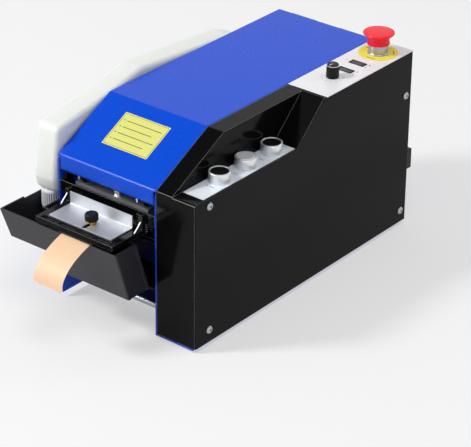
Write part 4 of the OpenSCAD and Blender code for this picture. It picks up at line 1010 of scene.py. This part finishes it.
def tickMark(spot, angle):
    out = Vector((math.cos(angle), math.sin(angle)))
    side = Vector((-out.y, out.x))
    r0, r1 = marks["tickRadius"]
    w = marks["tickWidth"] / 2
    corners = ((r0, -w), (r1, -w), (r1, w), (r0, w))
    return [spot.xy + out * r + side * s for r, s in corners]


def makeMarks():
    spot = bench(middle("length_knob"))
    loops = []
    for k in range(marks["ticks"]):
        angle = marks["tickStart"] + marks["tickTurn"] * k / (marks["ticks"] - 1)
        loops.append(tickMark(spot, math.radians(angle)))
    for node in ("rocker_front", "rocker_rear"):
        spot = bench(middle(node))
        for dx, dy, w, h in marks["rockerMarks"]:
            loops.append(patch(spot.x + dx, spot.y + dy, w, h))
    z, ink = plateTop + marks["clear"], ("printInk", "black_plastic")
    film(loops, z, marks["thick"], "knobTicks", "chassis", *ink)
    spot = bench(middle("stop_head"))
    z += stop["labelThick"]
    for k in range(marks["arcs"]):
        start = math.radians(360 / marks["arcs"] * k + marks["arcStart"])
        end = start + math.radians(marks["arcTurn"])
        arc = arcBand(spot, marks["arcRadius"], start, end)
        film([arc], z, marks["thinInk"], f"turnMark{k}", "chassis", *ink)
    spot = bench(middle("start_button"))
    bars = [patch(spot.x + dx, y, w, h) for y in marks["rows"] for dx, w, h in marks["rowMarks"]]
    z = button["seat"] + marks["clear"]
    film(bars, z, marks["thinInk"], "rowMarks", "chassis", "blueInk", "white_plate")


makeMarks()
print("films made")

# bright stays between the feed frame and its cheeks

stays = {
    "radius": 0.9,
    "steps": 24,
    "acrosses": (19.2, 138.8),
    "foot": (-18.7, 142.6),
    "head": (-5.6, 154.4),
}


def makeStays():
    for k, x in enumerate(stays["acrosses"]):
        foot, head = at(x, *stays["foot"]), at(x, *stays["head"])
        length, r = (head - foot).length / mm, stays["radius"]
        side = [(0, 0), (r - 0.2, 0), (r, 0.2), (r, length - 0.2), (r - 0.2, length), (0, length)]
        rod = lathe(side, Vector((0, 0, 0)), stays["steps"])
        turn = Vector((0, 0, 1)).rotation_difference(head - foot).to_matrix().to_4x4()
        bmesh.ops.transform(rod, matrix=Matrix.Translation(foot) @ turn, verts=rod.verts)
        meshPiece(rod, f"frameStay{k}", "chassis", "polishedSteel")


makeStays()
print("stays made")

# floor, backdrop and lights

studio = {
    "floor": ("#f8f8f8", "#f6f6f6"),
    "floorRadius": 9,
    "cloud": 1.5,
    "glow": 0.46,
    "ambient": 0.38,
    # the sweep is white up to eye height and darker overhead
    "sweep": (0.5, 0.85),
    "horizon": 1.0,
    "zenith": 0.12,
    "aim": (0, 0, 0.1),
}
lamps = {
    # name: place and disc width in metres, watts, whether it lights plain surfaces
    "keyLamp": ((-2.3, -2.75, 3.5), 0.9, 124.0, True),
    "topLamp": ((1.5, -1.0, 4.0), 1.8, 38.0, True),
    "rimLamp": ((2.3, 3.5, 2.9), 0.7, 12.0, True),
    # a softbox that only draws the line of light along the front folds
    "foldBox": ((-2.41, -2.85, 2.43), 1.3, 110.0, False),
}


def areaLight(name, place, size, power, lights):
    data = bpy.data.lights.new(name, "AREA")
    data.shape = "DISK"
    data.size = size
    data.energy = power
    lamp = bpy.data.objects.new(name, data)
    lamp.location = place
    lamp.visible_diffuse = lights
    toward = Vector(studio["aim"]) - Vector(place)
    lamp.rotation_euler = toward.to_track_quat("-Z", "Y").to_euler()
    bpy.context.scene.collection.objects.link(lamp)


def whereSeen(tree):
    path = addNode(tree, "LightPath")
    seen = path.outputs["Is Camera Ray"]
    for ray in ("Is Glossy Ray", "Is Transmission Ray"):
        either = addNode(tree, "Math", {"operation": "MAXIMUM"}, i0=seen, i1=path.outputs[ray])
        seen = either.outputs[0]
    return seen


def makeFloor():
    bm = bmesh.new()
    bmesh.ops.create_circle(bm, cap_ends=True, segments=96, radius=studio["floorRadius"])
    data = bpy.data.meshes.new("floor")
    bm.to_mesh(data)
    bm.free()
    floor = bpy.data.objects.new("floor", data)
    bpy.context.scene.collection.objects.link(floor)
    # seamless paper: plain pale sheet
    mat, tree, surface = newMaterial("seamlessPaper", Roughness=0.9, IOR=1.4)
    coords = addNode(tree, "TexCoord").outputs["Object"]
    cloud = addNode(tree, "TexNoise", Vector=coords, Scale=studio["cloud"]).outputs[0]
    tone = addNode(tree, "Mix", {"data_type": "RGBA"}, i0=cloud)
    for socket, colour in zip((6, 7), studio["floor"]):
        tone.inputs[socket].default_value = linear(colour)
    tree.links.new(tone.outputs[2], surface.inputs["Base Color"])
    glow = addNode(tree, "Emission", Color=linear("#ffffff"), Strength=1.0)
    seen, most = whereSeen(tree), studio["glow"]
    share = addNode(tree, "Math", {"operation": "MULTIPLY"}, i0=seen, i1=most).outputs[0]
    blend = addNode(tree, "MixShader", i0=share, i1=surface.outputs[0], i2=glow.outputs[0])
    tree.links.new(blend.outputs[0], tree.nodes["Material Output"].inputs[0])
    floor.data.materials.append(mat)


def makeWorld():
    world = bpy.data.worlds.new("world")
    bpy.context.scene.world = world
    world.use_nodes = True
    tree = world.node_tree
    tree.nodes.clear()
    seen = whereSeen(tree)
    coords = addNode(tree, "TexCoord").outputs["Generated"]
    height = addNode(tree, "SeparateXYZ", i0=coords).outputs[2]
    (low, high), smooth = studio["sweep"], {"interpolation_type": "SMOOTHSTEP"}
    sweep = addNode(tree, "MapRange", smooth, Value=height, i1=low, i2=high)
    sweep.inputs[3].default_value = studio["horizon"]
    sweep.inputs[4].default_value = studio["zenith"]
    strength = addNode(tree, "MapRange", Value=seen, i3=studio["ambient"], i4=sweep.outputs[0])
    sky = addNode(tree, "Background", Color=linear("#ffffff"), Strength=strength.outputs[0])
    out = addNode(tree, "OutputWorld")
    tree.links.new(sky.outputs[0], out.inputs[0])


makeFloor()
makeWorld()
for lampName, facts in lamps.items():
    areaLight(lampName, *facts)
bpy.context.scene.view_settings.view_transform = "Standard"
print("studio made")
